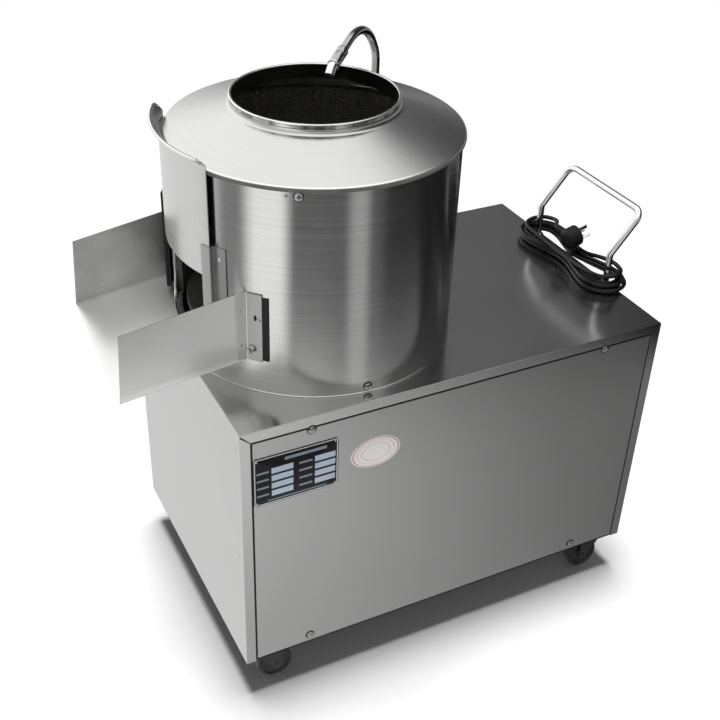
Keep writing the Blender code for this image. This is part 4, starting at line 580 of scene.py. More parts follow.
@kept
def grit():
    """Abrasive coating: dark grains with a few bright faces, and worn patches."""
    made = Finish("abrasive grit", roughness=0.92)
    grain = made.cells(520.0)
    spark = made.cell_tones(900.0).rise(0.62, 0.80)
    wear_and_shade = made.noise((14.0, 14.0, 20.0), 4.0).rise(0.52, 0.70)
    base = made.scaled(colours().grit, 0.55 + grain * 1.1 + spark * 2.2)
    made.paint(made.blend(wear_and_shade * 0.45, base, (0.11, 0.105, 0.095)))
    made.gloss(0.95 - spark * 0.35)
    made.relief(grain, 0.0009)
    return made


@kept
def plate_face():
    """Bare nameplate: a silver line round its edge, and two columns of blank fields with plain rules."""
    low, high = corners("nameplate")
    made = Finish("nameplate", roughness=0.34, Specular_IOR_Level=0.25)
    x, _, z = made.axes()
    u = (x - low[0]) / float(high[0] - low[0])
    v = (z - low[2]) / float(high[2] - low[2])
    side = (u - 0.5).size() * 2.0
    rise = (v - 0.5).size() * 2.0
    border = side.band(0.955, 0.988, 0.003).largest(rise.band(0.932, 0.982, 0.004))
    border = border * (1 - side.rise(0.985, 0.988)) * (1 - rise.rise(0.978, 0.982))
    row = ((v - 0.135) / 0.157).fraction()
    rows = v.band(0.137, 0.761, 0.004)
    soft = 0.006
    field = rows * row.band(0.10, 0.88, 0.05) * (u.band(0.205, 0.465, soft) + u.band(0.715, 0.965, soft))
    caption = rows * row.band(0.36, 0.66, 0.05) * (u.band(0.035, 0.180, soft) + u.band(0.530, 0.690, soft))
    head = v.band(0.840, 0.905, soft) * u.band(0.36, 0.86, soft)
    foot = v.band(0.060, 0.088, soft) * u.band(0.16, 0.86, soft)
    fields = field + (caption + head + foot) * 0.5
    fine = made.noise((900.0, 900.0, 900.0))
    ground = made.scaled(colours().plate, 0.9 + fine * 0.2)
    made.paint(made.blend(border, made.blend(fields, ground, colours().field), (0.55, 0.56, 0.57)))
    made.gloss(0.34 - border * 0.1 + (fine - 0.5) * 0.06)
    return made


@kept
def label_face():
    """Oval label, left blank: pale ground, a ring near its edge, a ring of dots and a fine inner ring."""
    made = Finish("oval label", roughness=0.42)
    x, _, z = made.axes()
    half = sizes().label / 2
    u = (x - LABEL_X) / half
    v = (z - LABEL_Z) / (half * LABEL_SHARE)
    reach = (u * u + v * v) ** 0.5
    count = 52
    turn = v.angle_over(u) * (count / math.tau)
    dots = turn.fraction().band(0.20, 0.80, 0.25) * reach.band(0.715, 0.805, 0.040)
    rings = reach.band(0.895, 0.950, 0.016) + reach.band(0.550, 0.590, 0.012) * 0.6 + dots * 0.8
    fine = made.noise((400.0, 400.0, 400.0))
    made.paint(made.blend(rings, colours().label, colours().ring))
    made.gloss(0.40 + fine * 0.06)
    return made


def unit(vectors):
    """Vectors of length 1; a zero vector stays zero."""
    length = np.linalg.norm(vectors, axis=-1, keepdims=True)
    return vectors / np.maximum(length, 1e-12)


def around(steps):
    """Even angles round a circle, the first at 0."""
    return np.arange(steps) * 2 * math.pi / steps


def cells_of(rows, columns, wrap_rows, wrap_columns):
    """Corner numbers of a grid's cells. A wrapped side joins its last line to its first."""
    down = np.arange(rows if wrap_rows else rows - 1)[:, None]
    along = np.arange(columns if wrap_columns else columns - 1)[None, :]
    below = (down + 1) % rows
    beside = (along + 1) % columns
    places = ((down, along), (down, beside), (below, beside), (below, along))
    return np.stack(np.broadcast_arrays(*(row * columns + column for row, column in places)), axis=-1)


def surface(name, grids, keep=None, shut=True):
    """One object on one or more grids of points, each (points, wrap rows, wrap columns).

    Seams and poles are merged, and a shut surface is turned outward.
    """
    points, cells, start = [], [], 0
    for grid, wrap_rows, wrap_columns in grids:
        made = cells_of(*grid.shape[:2], wrap_rows, wrap_columns)
        cells.append((made[keep] if keep is not None else made.reshape(-1, 4)) + start)
        points.append(grid.reshape(-1, 3))
        start += len(points[-1])
    used, cells = np.unique(np.concatenate(cells), return_inverse=True)
    mesh = bpy.data.meshes.new(name)
    mesh.from_pydata(np.concatenate(points)[used].tolist(), [], cells.reshape(-1, 4).tolist())
    shape = bmesh.new()
    shape.from_mesh(mesh)
    bmesh.ops.remove_doubles(shape, verts=shape.verts, dist=0.000002)
    if shut:
        bmesh.ops.recalc_face_normals(shape, faces=shape.faces)
    shape.to_mesh(mesh)
    shape.free()
    return bpy.data.objects.new(name, mesh)


def settle(piece, finish, nodes=(), body=None, angle=35.0):
    """Gives a piece its finish and smooth shading, and lets it ride in place of the nodes it stands for."""
    piece.data.materials.append(finish)
    bpy.context.scene.collection.objects.link(piece)
    if piece.type == "MESH":
        piece.data.shade_smooth()
        piece.data.set_sharp_from_angle(angle=math.radians(angle))
    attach(piece, body or BODY[nodes[0]])
    if nodes:
        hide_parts(*nodes)
    return piece


def add_small(piece, finish):
    """Settles a small piece on the machine's body that stands for no node."""
    return settle(piece, finish, body=MACHINE)


def soften(piece, width, segments=2, angle=40.0):
    """Rounds the sharp edges of a piece."""
    bevel = piece.modifiers.new("edges", "BEVEL")
    bevel.width = width
    bevel.segments = segments
    bevel.limit_method = "ANGLE"
    bevel.angle_limit = math.radians(angle)
    bevel.harden_normals = True
    return piece


def thicken(piece, thickness, offset=-1.0):
    """Gives a sheet its thickness."""
    wall = piece.modifiers.new("wall", "SOLIDIFY")
    wall.thickness = thickness
    wall.offset = offset
    return piece


def dressed(node, finish, width, segments=2):
    """A node with softened edges: a copy whose loose triangles are merged and whose flat faces are joined."""
    mesh = NODES[node].data.copy()
    mesh.materials.clear()
    custom = mesh.attributes.get("custom_normal")
    if custom:
        mesh.attributes.remove(custom)
    shape = bmesh.new()
    shape.from_mesh(mesh)
    bmesh.ops.remove_doubles(shape, verts=shape.verts, dist=0.00001)
    bmesh.ops.dissolve_limit(shape, angle_limit=math.radians(1.5), verts=shape.verts, edges=shape.edges)
    shape.to_mesh(mesh)
    shape.free()
    piece = settle(bpy.data.objects.new(node + "_form", mesh), finish, (node,))
    return soften(piece, width, segments) if width else piece


def rounded(path, radii, steps, shut=True):
    """A path through corners, with a circular arc at each corner that has a radius.

    An arc's centre lies on the corner's bisector, radius / sin(half angle) away, and its ends lie
    radius / tan(half angle) along the two sides.
    """
    path = np.asarray(path, float)
    before, middle, after = path[:-2], path[1:-1], path[2:]
    if shut:
        before, middle, after = np.roll(path, 1, 0), path, np.roll(path, -1, 0)
    radii = np.broadcast_to(np.asarray(radii, float), len(middle))[:, None]
    back = unit(before - middle)
    ahead = unit(after - middle)
    half = np.arccos(np.clip((back * ahead).sum(-1, keepdims=True), -1.0, 1.0)) / 2
    centre = middle + unit(back + ahead) * radii / np.sin(half)
    first = middle + back * radii / np.tan(half)
    last = middle + ahead * radii / np.tan(half)
    share = np.linspace(0.0, 1.0, steps + 1)[None, :, None]
    spokes = (first - centre)[:, None] * (1 - share) + (last - centre)[:, None] * share
    arcs = (centre[:, None] + unit(spokes) * radii[:, None]).reshape(-1, path.shape[1])
    return arcs if shut else np.concatenate([path[:1], arcs, path[-1:]])


def measured(path):
    """How far along a path each of its points lies."""
    return np.concatenate([[0.0], np.cumsum(np.linalg.norm(np.diff(path, axis=0), axis=1))])


def points_at(path, along, wanted):
    """Points on a path at the distances wanted, where along is how far its own points lie."""
    return np.stack([np.interp(wanted, along, path[:, i]) for i in range(path.shape[1])], axis=-1)


def placed(points, origin, axis):
    """Points of a shape that stands on Z, moved to an origin and tipped so that Z lies along the axis."""
    up = unit(np.array(axis, float))
    side = unit(np.cross(ACROSS if abs(up[1]) < 0.9 else UP, up))
    return np.asarray(origin, float) + points @ np.stack([side, np.cross(up, side), up])


def rings_of(profile, steps, reach=None):
    """A profile of (radius, height) carried round Z: (r cos a, r sin a, h). reach(a, h) scales r."""
    angle = around(steps)
    radius = profile[:, :1] * np.ones(steps)
    height = profile[:, 1:] * np.ones(steps)
    if reach is not None:
        radius = radius * reach(angle[None, :], height)
    return np.stack([radius * np.cos(angle), radius * np.sin(angle), height], axis=-1)


def turned(name, profile, origin, axis=UP, steps=96, reach=None):
    """A shut profile of (radius, height) turned about an axis through the origin given."""
    rings = rings_of(np.asarray(profile, float), steps, reach)
    return surface(name, [(placed(rings, origin, axis), True, True)])


def ring_profile(inner, outer, height, low_edge, high_edge, steps=3):
    """Profile of a ring that stands on 0, with its two outer edges rounded."""
    outline = [(inner, 0.0), (outer, 0.0), (outer, height), (inner, height)]
    return rounded(outline, [0, low_edge, high_edge, 0], steps)


def tube_of(path, radii, reference, ring):
    """Rings across a path, at the radius given at each point, shut by a point at both ends."""
    ahead = unit(np.gradient(path, axis=0))
    side = unit(np.cross(ahead, np.asarray(reference, float)))
    up = np.cross(side, ahead)
    turn = around(ring)
    spokes = side[:, None] * np.cos(turn)[None, :, None] + up[:, None] * np.sin(turn)[None, :, None]
    rings = path[:, None] + spokes * np.broadcast_to(radii, len(path))[:, None, None]
    ends = [np.repeat(path[i][None, None], ring, axis=1) for i in (0, -1)]
    return np.concatenate([ends[0], rings, ends[1]])


def tube(name, path, radii, reference, ring):
    """A round rod along a path."""
    return surface(name, [(tube_of(np.asarray(path, float), radii, reference, ring), False, True)])


def slab_of(outline, thick, edge):
    """A flat convex plate: its outline in X and Y, from z = 0 to thick, with a rounded upper edge."""
    middle = outline.mean(axis=0)
    inward = unit(middle - outline) * edge
    point = middle + outline * 0
    levels = [(point, 0.0), (outline, 0.0), (outline, thick - edge)]
    levels += [(outline + inward * 0.3, thick - edge * 0.3), (outline + inward, thick), (point, thick)]
    return np.stack([np.column_stack([points, np.full(len(points), level)]) for points, level in levels])


def joined(name, shape, origins, axes, wrap=(False, True)):
    """Many copies of one small shape as one object, each at its origin along its axis."""
    return surface(name, [(placed(shape, origin, axis), *wrap) for origin, axis in zip(origins, axes)])


def screw_head(radius, height):
    """Pan head with a cross recess: a dome whose middle sinks along two crossing slots."""
    reach = np.array([0.0, 0.10, 0.22, 0.36, 0.48, 0.60, 0.80, 0.93, 1.0, 1.0])[:, None]
    angle = around(24)
    x, y = reach * np.cos(angle) * radius, reach * np.sin(angle) * radius
    dome = height * np.sqrt(np.clip(1.0 - 0.75 * reach**2, 0.0, 1.0)) * np.ones(len(angle))
    narrow = np.minimum(np.abs(x), np.abs(y)) < radius * 0.13
    z = dome - height * 0.55 * (narrow & (reach < 0.55))
    z[-1] = 0.0
    return np.stack([x, y, z], axis=-1)


def rivet_head(radius, height):
    """Low dome: height times the root of 1 - r squared."""
    angle = around(20)
    flat = np.sin(np.linspace(0.0, math.pi / 2, 6))[:, None] * np.ones(len(angle))
    z = height * np.sqrt(1.0 - np.clip(flat, 0.0, 1.0) ** 2)
    return np.stack([flat * np.cos(angle) * radius, flat * np.sin(angle) * radius, z], axis=-1)


def flat_ring(inner, outer, height):
    """Flat ring on z = 0: a rectangle turned about Z."""
    return rings_of(np.array([(inner, 0.0), (outer, 0.0), (outer, height), (inner, height)]), 28)


def polar(radius, angle, height):
    """Points about the drum's axis."""
    parts = (DRUM_X + radius * np.cos(angle), radius * np.sin(angle), height)
    return np.stack(np.broadcast_arrays(*parts), axis=-1)


def discharge(reach, across, height):
    """Points in the discharge side's own frame: reach outward from the drum's axis, across it, and up."""
    cos, sin = math.cos(DISCHARGE), math.sin(DISCHARGE)
    parts = (DRUM_X + reach * cos - across * sin, reach * sin + across * cos, height)
    return np.stack(np.broadcast_arrays(*parts), axis=-1)


def on_drum(name, shape, radius, angle, height, wrap=(False, True)):
    """Copies of a small shape about the drum's axis, each turned outward."""
    outward = np.stack([np.cos(angle), np.sin(angle), angle * 0], axis=-1)
    return joined(name, shape, polar(radius, angle, height), outward, wrap)


def bar_of(radius, angle, heights):
    """Grid of a closed bar between two radii, two angles and two heights above the cabinet."""
    loop = polar(radius[[0, 1, 1, 0]], angle[[0, 0, 1, 1]], 0.0)[None]
    low, high = [loop + (0.0, 0.0, CABINET_TOP + height) for height in heights]
    ends = [np.repeat(row.mean(axis=1, keepdims=True), 4, axis=1) for row in (low, high)]
    return np.concatenate([ends[0], low, high, ends[1]]), False, True


def windowed(name, radius, low, high):
    """A round wall with the discharge opening: angle runs round it and height up it.

    The cells inside the opening are left out.
    """
    across = np.linspace(-OPENING_HALF, OPENING_HALF, 25)
    round_it = np.linspace(OPENING_HALF, 2 * math.pi - OPENING_HALF, 157)[1:-1]
    angle = DISCHARGE + np.concatenate([across, round_it])
    below = np.linspace(low, OPENING_LOW, 6)
    beside = np.linspace(OPENING_LOW, OPENING_HIGH, 9)[1:]
    height = np.concatenate([below, beside, np.linspace(OPENING_HIGH, high, 8)[1:]])
    keep = np.ones((len(height) - 1, len(angle)), bool)
    keep[len(below) - 1 : len(below) + len(beside) - 1, : len(across) - 1] = False
    return surface(name, [(polar(radius, angle[None, :], height[:, None]), False, True)], keep, shut=False)


class PeelerStage(bpy.types.Operator):
    """Floor, light and camera"""

    bl_idname = "peeler.stage"
    bl_label = "Stage and light"

    def execute(self, context):
        self.camera(context)
        self.world(context)
        self.lamp(context)
        self.floor(context)
        return {"FINISHED"}

    def camera(self, context):
        """The view of the photograph: a place, a yaw, a pitch and a small roll."""
        yaw, pitch, roll = (math.radians(value) for value in (27.877, 33.770, 2.168))
        ahead = np.array((math.sin(yaw) * math.cos(pitch), math.cos(yaw) * math.cos(pitch), -math.sin(pitch)))
        right = np.array((math.cos(yaw), -math.sin(yaw), 0.0))
        up = np.cross(right, ahead)
        level = math.cos(roll) * right + math.sin(roll) * up
        over = math.cos(roll) * up - math.sin(roll) * right
        turn = Matrix(np.column_stack([level, over, -ahead]).tolist()).to_4x4()
        data = bpy.data.cameras.new("camera")
        data.lens = 56.6
        data.sensor_width = 36.0
        data.clip_start = 0.05
        data.clip_end = 60.0
        camera = bpy.data.objects.new("camera", data)
        camera.matrix_world = Matrix.Translation((-0.67711, -1.25228, 1.33222)) @ turn
        context.scene.collection.objects.link(camera)
        context.scene.camera = camera
        context.scene.view_settings.view_transform = "Standard"

    def world(self, context):
        """White to the camera, and even light for matt surfaces.

        Reflections see a bright ceiling over a wall that is dark on the right, darkest at its front half,
        bright at the back and a little darker in front. Directions are counted in degrees from +X.
        """
        world = bpy.data.worlds.new("studio")
        world.use_nodes = True
        world.cycles.sampling_method = "NONE"
        context.scene.world = world
        made = Graph(world.node_tree, "Generated")
        x, y, z = made.axes()
        azimuth = y.angle_over(x) * DEGREES
        high = z.rise(0.0, 0.10)
        dark = azimuth.zone(-62.0, -46.0, 69.0, 83.0) * (0.5 + high * 0.5)
        darkest = azimuth.zone(-62.0, -46.0, 38.0, 52.0) * high
        back = azimuth.zone(75.0, 90.0, 140.0, 170.0)
        front = azimuth.zone(-128.0, -108.0, -62.0, -46.0) * z.band(0.20, 0.66, 0.12)
        wall = 0.68 - dark * 0.53 - darkest * 0.11 + back * 0.60 - front * 0.42
        mirrored = wall + (1.24 - wall) * z.rise(0.64, 0.84)
        matt_light = 0.10 + (1 - z.rise(0.16, 0.36)) * 0.36
        shown = made.light_path("Is Camera Ray")
        glossy = made.light_path("Is Glossy Ray")
        background = world.node_tree.nodes["Background"]
        made.put(background.inputs["Color"], (1.0, 1.0, 1.0))
        light = shown + (1 - shown) * (glossy * mirrored + (1 - glossy) * matt_light)
        made.put(background.inputs["Strength"], light)

    def lamp(self, context):
        """One very soft lamp overhead, tipped a little so that the shadow falls forward."""
        data = bpy.data.lights.new("soft lamp", "SUN")
        data.energy = 3.25
        data.angle = math.radians(19.0)
        lamp = bpy.data.objects.new("soft lamp", data)
        lamp.rotation_euler = (math.radians(-3.8), math.radians(0.4), 0.0)
        lamp.visible_glossy = False
        context.scene.collection.objects.link(lamp)

    def floor(self, context):
        """White floor that keeps the shadow, and white to the camera far from the machine."""
        half = 30.0
        mesh = bpy.data.meshes.new("floor")
        square = [(x, y, 0.0) for x, y in (SQUARE * half).tolist()]
        mesh.from_pydata(square, [], [(0, 1, 2, 3)])
        floor = bpy.data.objects.new("floor", mesh)
        context.scene.collection.objects.link(floor)
        made = Finish("floor")
        made.material.cycles.emission_sampling = "NONE"
        mesh.materials.append(made.material)
        made.tree.nodes.remove(made.shader)
        reach, glow = self.mirrored_floor(made)
        mirrored = made.light_path("Is Glossy Ray").largest(made.light_path("Is Transmission Ray"))
        scattered = made.light_path("Diffuse Depth").rise(0.2, 0.8)
        shown = made.light_path("Is Camera Ray")
        matt_white = made.add("ShaderNodeBsdfDiffuse", {}, {"Color": (0.96, 0.96, 0.96)})
        mirror, white = (
            made.add("ShaderNodeEmission", {}, {"Color": (1.0, 1.0, 1.0), "Strength": strength})
            for strength in (glow * (1 - scattered * 0.7), 1.0)
        )
        near_light = made.add("ShaderNodeMixShader", {}, {0: mirrored, 1: matt_white, 2: mirror})
        far_share = shown * reach.rise(1.2, 2.2)
        light = made.add("ShaderNodeMixShader", {}, {0: far_share, 1: near_light, 2: white})
        made.put(made.tree.nodes["Material Output"].inputs["Surface"], light)

    def mirrored_floor(self, made):
        """How far each point of the floor is from the drum's axis, and how bright the steel mirrors it.

        Near the cabinet it is bright at the left and beside the handle, and dark ahead of the front, where it
        grows lighter with the gap. Farther out it is dark toward the right and bright at the left and front
        left, with a stripe in front.
        """
        x, y, _ = made.axes()
        away = x - DRUM_X
        reach = (away * away + y * y) ** 0.5
        azimuth = y.angle_over(away) * DEGREES
        beside = ((x - float(CABINET_X)).size() - 0.33).largest(0.0)
        before = (y.size() - 0.213).largest(0.0)
        gap = (beside * beside + before * before) ** 0.5
        ahead = (0 - y).rise(0.17, 0.27)
        near = (0.86 - x.rise(-0.50, 0.70) * 0.67) * (1 - ahead * (0.35 - gap.rise(0.0, 0.75) * 0.68))
        near = near + x.rise(0.36, 0.46) * y.rise(-0.26, -0.10) * (1 - gap.rise(0.22, 0.42)) * 0.40
        lobe = azimuth.zone(-174.0, -157.0, -140.0, -128.0)
        stripe = azimuth.zone(-94.0, -84.0, -79.0, -70.0)
        edge = azimuth.rise(156.0, 174.0) + 1 - azimuth.rise(-176.0, -166.0)
        right = azimuth.zone(-68.0, -58.0, 40.0, 60.0)
        left = azimuth.zone(66.0, 84.0, 160.0, 178.0)
        far = 0.11 + lobe * 1.20 + stripe * 0.38 + left * 0.79 + edge * 0.16
        far = far - right * (0.105 - gap.rise(2.6, 4.5) * 0.30)
        outward = gap + x.rise(0.30, 0.50) * y.rise(-0.62, -0.42) * 0.14
        return reach, near + (far - near) * outward.rise(0.62, 0.75)


def run_spread(step, share):
    """Half width of a turn of the winding, this share of the way from its waist to a post."""
    end = HANK_END_RADIUS + HANK_PITCH * step
    waist = HANK_WAIST + HANK_PITCH * step
    return waist + (end - waist) * np.sin(math.pi * share / 2) ** 2


def hank(turns, radius):
    """Centre of the wound cord after these numbers of turns round the two posts.

    It runs inward on the cabinet's top for half of the turns, and outward again on that layer. A turn is
    half a run, a half circle round the near post, a run, the far half circle and half a run.
    """
    step = np.abs(HANK_TURNS / 2 - turns)
    climbed = np.clip((turns - HANK_TURNS / 2 + HANK_CLIMB / 2) / HANK_CLIMB, 0.0, 1.0)
    z = CABINET_TOP + HANK_CLEARANCE + radius + HANK_LAYER * climbed**2 * (3 - 2 * climbed)
    half_run = HANK_RUN_SHARE / 2
    done = (turns % 1.0) * 2
    way = np.where(done < 1, -1.0, 1.0)
    since = np.where(done < 1, done, done - 1)
    first = since < half_run
    on_run = first | (since > 1 - half_run)
    share = np.clip(np.where(first, since, 1 - since) / half_run, 0.0, 1.0)
    side = np.where(first, -way, way)
    angle = math.pi * (since - half_run) / (1 - 2 * half_run)
    end = run_spread(step, 1.0)
    x = np.where(on_run, side * run_spread(step, share), -way * end * np.cos(angle))
    y = way * np.where(on_run, HANK_END_CENTRE * share, HANK_END_CENTRE + end * np.sin(angle))
    return np.stack([HANDLE_X + x, y, z], axis=-1)


def smooth_route(knots, spacing):
    """Even points on a Catmull-Rom curve: on each stretch a cubic of the share t, by its four knots."""
    ends = np.concatenate([[knots[0] * 2 - knots[1]], knots, [knots[-1] * 2 - knots[-2]]])
    a, b, c, d = (ends[i : len(ends) - 3 + i, None] for i in range(4))
    t = (np.arange(20) / 20)[None, :, None]
    fine = (b * 2 + (c - a) * t + (a * 2 - b * 5 + c * 4 - d) * t**2 + (b * 3 - a - c * 3 + d) * t**3) / 2
    fine = np.concatenate([fine.reshape(-1, 3), knots[-1:]])
    along = measured(fine)
    return points_at(fine, along, np.linspace(0.0, along[-1], max(3, round(along[-1] / spacing) + 1)))


def plug_frame(radius):
    """Middle of the plug's body, which lies on the winding, and its direction."""
    rise = HANK_CLEARANCE + radius * 2 + HANK_LAYER + HANK_CLEARANCE
    rise += PLUG_RADIUS * math.cos(PLUG_TILT) + PLUG_LENGTH / 2 * math.sin(PLUG_TILT)
    middle = np.array((CABINET_X + 0.320, 0.008, CABINET_TOP + rise))
    return middle, np.array((math.cos(PLUG_TILT), 0.0, math.sin(PLUG_TILT)))


def cord_route(radius):
    """The cord's centreline: out of the gland, up and over the handle's side of the cabinet, four turns round
    the posts, and a last loose turn to the plug on top."""
    start_z = CABINET_TOP + HANK_CLEARANCE + radius
    angle = math.pi / 2 * (1 - np.arange(7) / 6)
    y = LEAD_RUN + LEAD_BEND * np.sin(angle)
    x = HANDLE_X + run_spread(HANK_TURNS / 2 + LEAD_SHARE, y / HANK_END_CENTRE)
    bend = np.stack([x, y, start_z - LEAD_BEND * (1 - np.cos(angle))], axis=-1)
    outer_x = END_X + LEAD_OUT + LEAD_BEND
    rise = GLAND[2] + LEAD_RISE
    points = [
        (END_X - 0.0065, GLAND[1], GLAND[2]),
        (outer_x, GLAND[1], GLAND[2]),
        (outer_x, GLAND[1], rise),
        (bend[0][0], GLAND[1], rise + outer_x - bend[0][0]),
        tuple(bend[0]),
    ]
    lead = np.concatenate([rounded(points, LEAD_BEND, 12, shut=False), bend[1:]])
    winding = hank(np.linspace(0.0, HANK_TURNS, HANK_TURNS * 72 + 1), radius)
    middle, _ = plug_frame(radius)
    neck_end = middle + (0.0, PLUG_RADIUS + PLUG_NECK, 0.0)
    top = np.array((HANDLE_X, 0.0, CABINET_TOP))
    knots = np.concatenate([winding[-1:], top + np.array(TAIL_KNOTS), [neck_end + (0.0, radius, 0.0)]])
    tail = np.concatenate([smooth_route(knots, 0.005), [neck_end - (0.0, 0.0057, 0.0)]])
    return np.concatenate([lead[:-1], winding, tail[1:]])


class PeelerCord(bpy.types.Operator):
    """Mains cord wound round the handle's posts, with its gland and plug"""

    bl_idname = "peeler.cord"
    bl_label = "Mains cord"

    def execute(self, context):
        radius = sizes().cord / 2
        route = cord_route(radius)
        curve = bpy.data.curves.new("mains_lead", "CURVE")
        curve.dimensions = "3D"
        curve.bevel_depth = radius
        curve.bevel_resolution = 5
        curve.use_fill_caps = True
        spline = curve.splines.new("POLY")
        spline.points.add(len(route) - 1)
        spline.points.foreach_set("co", np.column_stack([route, np.ones(len(route))]).ravel())
        spline.use_smooth = True
        lead = settle(bpy.data.objects.new("mains_lead", curve), cord_jacket(), ("mains_cord",))
        pieces = [self.gland(radius)] + self.plug(radius)
        return {"FINISHED"}

    def gland(self, radius):
        """A nut with grip ribs, then a sleeve of five ribs that taper to the cord."""

        def grip(angle, height):
            """A little less than 1 in the grooves between the nut's 18 ribs."""
            return 1 - 0.035 * (np.cos(18 * angle) > 0.4) * (height < 0.007)

        share = np.linspace(0.0, 1.0, 41)
        ribs = 0.0007 * (0.5 - 0.5 * np.cos(share * 5 * 2 * math.pi)) * (1 - share * 0.5)
        sleeve = np.column_stack([0.0070 - 0.0022 * share - ribs, 0.008 + share * 0.020])
        bore = radius + GAP / 2
        nut = [(bore, GAP), (0.0100, GAP), (0.0100, 0.0080), (0.0070, 0.0080)]
        nut = rounded(nut, [0, 0.0004, 0.0012, 0], 3)
        profile = np.concatenate([[(bore, GAP)], nut[4:12], sleeve, [(bore, 0.028)]])
        piece = turned("gland_taper", profile, GLAND, (1.0, 0.0, 0.0), 48, grip)
        return settle(piece, black_plastic(), ("cord_gland",))

    def plug(self, radius):
        """A flat round body with a grip hollow, its neck with bend ribs, and three flat pins."""
        middle, ahead = plug_frame(radius)
        half, shoulder = PLUG_LENGTH / 2, PLUG_RADIUS / 3
        outline = [
            (0.0, half), (PLUG_RADIUS, half), (PLUG_RADIUS, shoulder - half),
            (PLUG_RADIUS - shoulder / 3, shoulder / 3 - half), (PLUG_RADIUS - shoulder, -half), (0.0, -half),
        ]
        outline = rounded(outline, [0, 0.0018, 0.003, 0.003, 0.002, 0], 5)
        body = settle(turned("plug_body", outline, middle, ahead, 64), rubber(), ("cord_plug",))
        share = np.linspace(0.0, 1.0, 37)
        reach = 0.010 + share * (PLUG_RADIUS + PLUG_NECK - 0.010)
        ribbed = (reach > 0.0185) & (reach < 0.0325)
        ribs = np.where(ribbed, 0.0006 * (np.cos((reach - 0.0185) / 0.0028 * 2 * math.pi) > 0.1), 0.0)
        route = middle + np.outer(reach, ACROSS)
        neck = tube("plug_sleeve", route, 0.0065 - 0.0008 * share - ribs, (1.0, 0.0, 0.0), 32)
        add_small(neck, rubber())
        pins = [self.pin(middle, ahead, math.radians(turn)) for turn in (0.0, 120.0, -120.0)]
        blades = soften(surface("plug_blades", [(pin, False, True) for pin in pins]), 0.0002)
        return [body, neck, add_small(blades, polished_steel())]

    def pin(self, middle, ahead, turn):
        """One blade: a rounded rectangle across the plug's direction, carried out of its face."""
        down = np.cross(ACROSS, ahead)
        out = math.cos(turn) * down + math.sin(turn) * np.array(ACROSS)
        flat = math.cos(turn) * np.array(ACROSS) - math.sin(turn) * down
        outline = rounded(SQUARE * (0.0031, 0.0009), 0.0004, 2)
        base = middle - out * 0.0075
        rows = [(0.0, PLUG_LENGTH / 4), (1.0, PLUG_LENGTH / 4), (1.0, 0.0293), (0.7, 0.0305), (0.0, 0.0305)]
        return np.stack([
            base + np.outer(outline[:, 0] * size, out) + np.outer(outline[:, 1] * size, flat) + ahead * reach
            for size, reach in rows
        ])


class PeelerDrum(bpy.types.Operator):
    """Drum wall, floor pan, abrasive lining, seal and drain"""

    bl_idname = "peeler.drum"
    bl_label = "Drum"

    def execute(self, context):
        low, high = DRUM_LOW[2], DRUM_HIGH[2]
        wall = settle(windowed("drum_wall", DRUM_RADIUS, low, high), drum_steel(), ("drum_shell",))
        soften(thicken(wall, 0.002), sizes().edge, angle=60.0)
        bottom, top = (corners("drum_lining")[i][2] for i in (0, 1))
        lining = settle(windowed("grit_lining", DRUM_RADIUS - 0.0023, bottom, top), grit(), ("drum_lining",))
        soften(thicken(lining, 0.008), 0.0012, angle=60.0)
        foot = ring_profile(0.1925, 0.1941, 0.0016, 0.0004, 0.0008)
        add_small(turned("drum_foot", foot, (DRUM_X, 0.0, low), steps=160), polished_steel())
        self.opening()
        dressed("drum_floor", drum_steel(), sizes().edge)
        dressed("shaft_seal", rubber(), 0.0006)
        dressed("drain_pipe", machined_steel(), 0.0003)
        return {"FINISHED"}

    def opening(self):
        """Round lower corners of the discharge opening, and the bright rim round it.

        With s along the wall and h up it, a corner's arc is (s, h) = (w - r + r sin t, low + r - r cos t).
        The plate lies between the arc and the corner. The rim is a rod along the sides and both arcs.
        """
        round_off, wide = 0.034, OPENING_HALF * DRUM_RADIUS
        turn = np.linspace(0.0, math.pi / 2, 13)
        along = wide - round_off + round_off * np.sin(turn)
        rise = OPENING_LOW + round_off - round_off * np.cos(turn)
        grids = []
        for side in (1, -1):
            across = np.stack([turn * 0 + wide, along])[:, ::side] * side
            height = np.stack([turn * 0 + OPENING_LOW, rise])[:, ::side]
            angle = DISCHARGE + across / DRUM_RADIUS
            grids.append((polar(DRUM_RADIUS - 0.0001, angle, height), False, False))
        plates = surface("opening_corners", grids, shut=False)
        add_small(thicken(plates, 0.0022), drum_steel())
        top = OPENING_HIGH - 0.0016
        side_rise = np.linspace(rise[-1], top, 20)[1:]
        below = np.linspace(0.0, along[0], 9)[:-1]
        above = np.linspace(wide, 0.0, 16)[1:]
        across = np.concatenate([below, along, side_rise * 0 + wide, above])
        height = np.concatenate([below * 0 + OPENING_LOW, rise, side_rise, above * 0 + top])
        across = np.concatenate([across, -across[::-1][1:]])
        height = np.concatenate([height, height[::-1][1:]])
        path = polar(DRUM_RADIUS + 0.0002, DISCHARGE + across / DRUM_RADIUS, height)
        add_small(tube("opening_rim", path, 0.0016, (-1.0, 0.05, 0.0), 12), polished_steel())


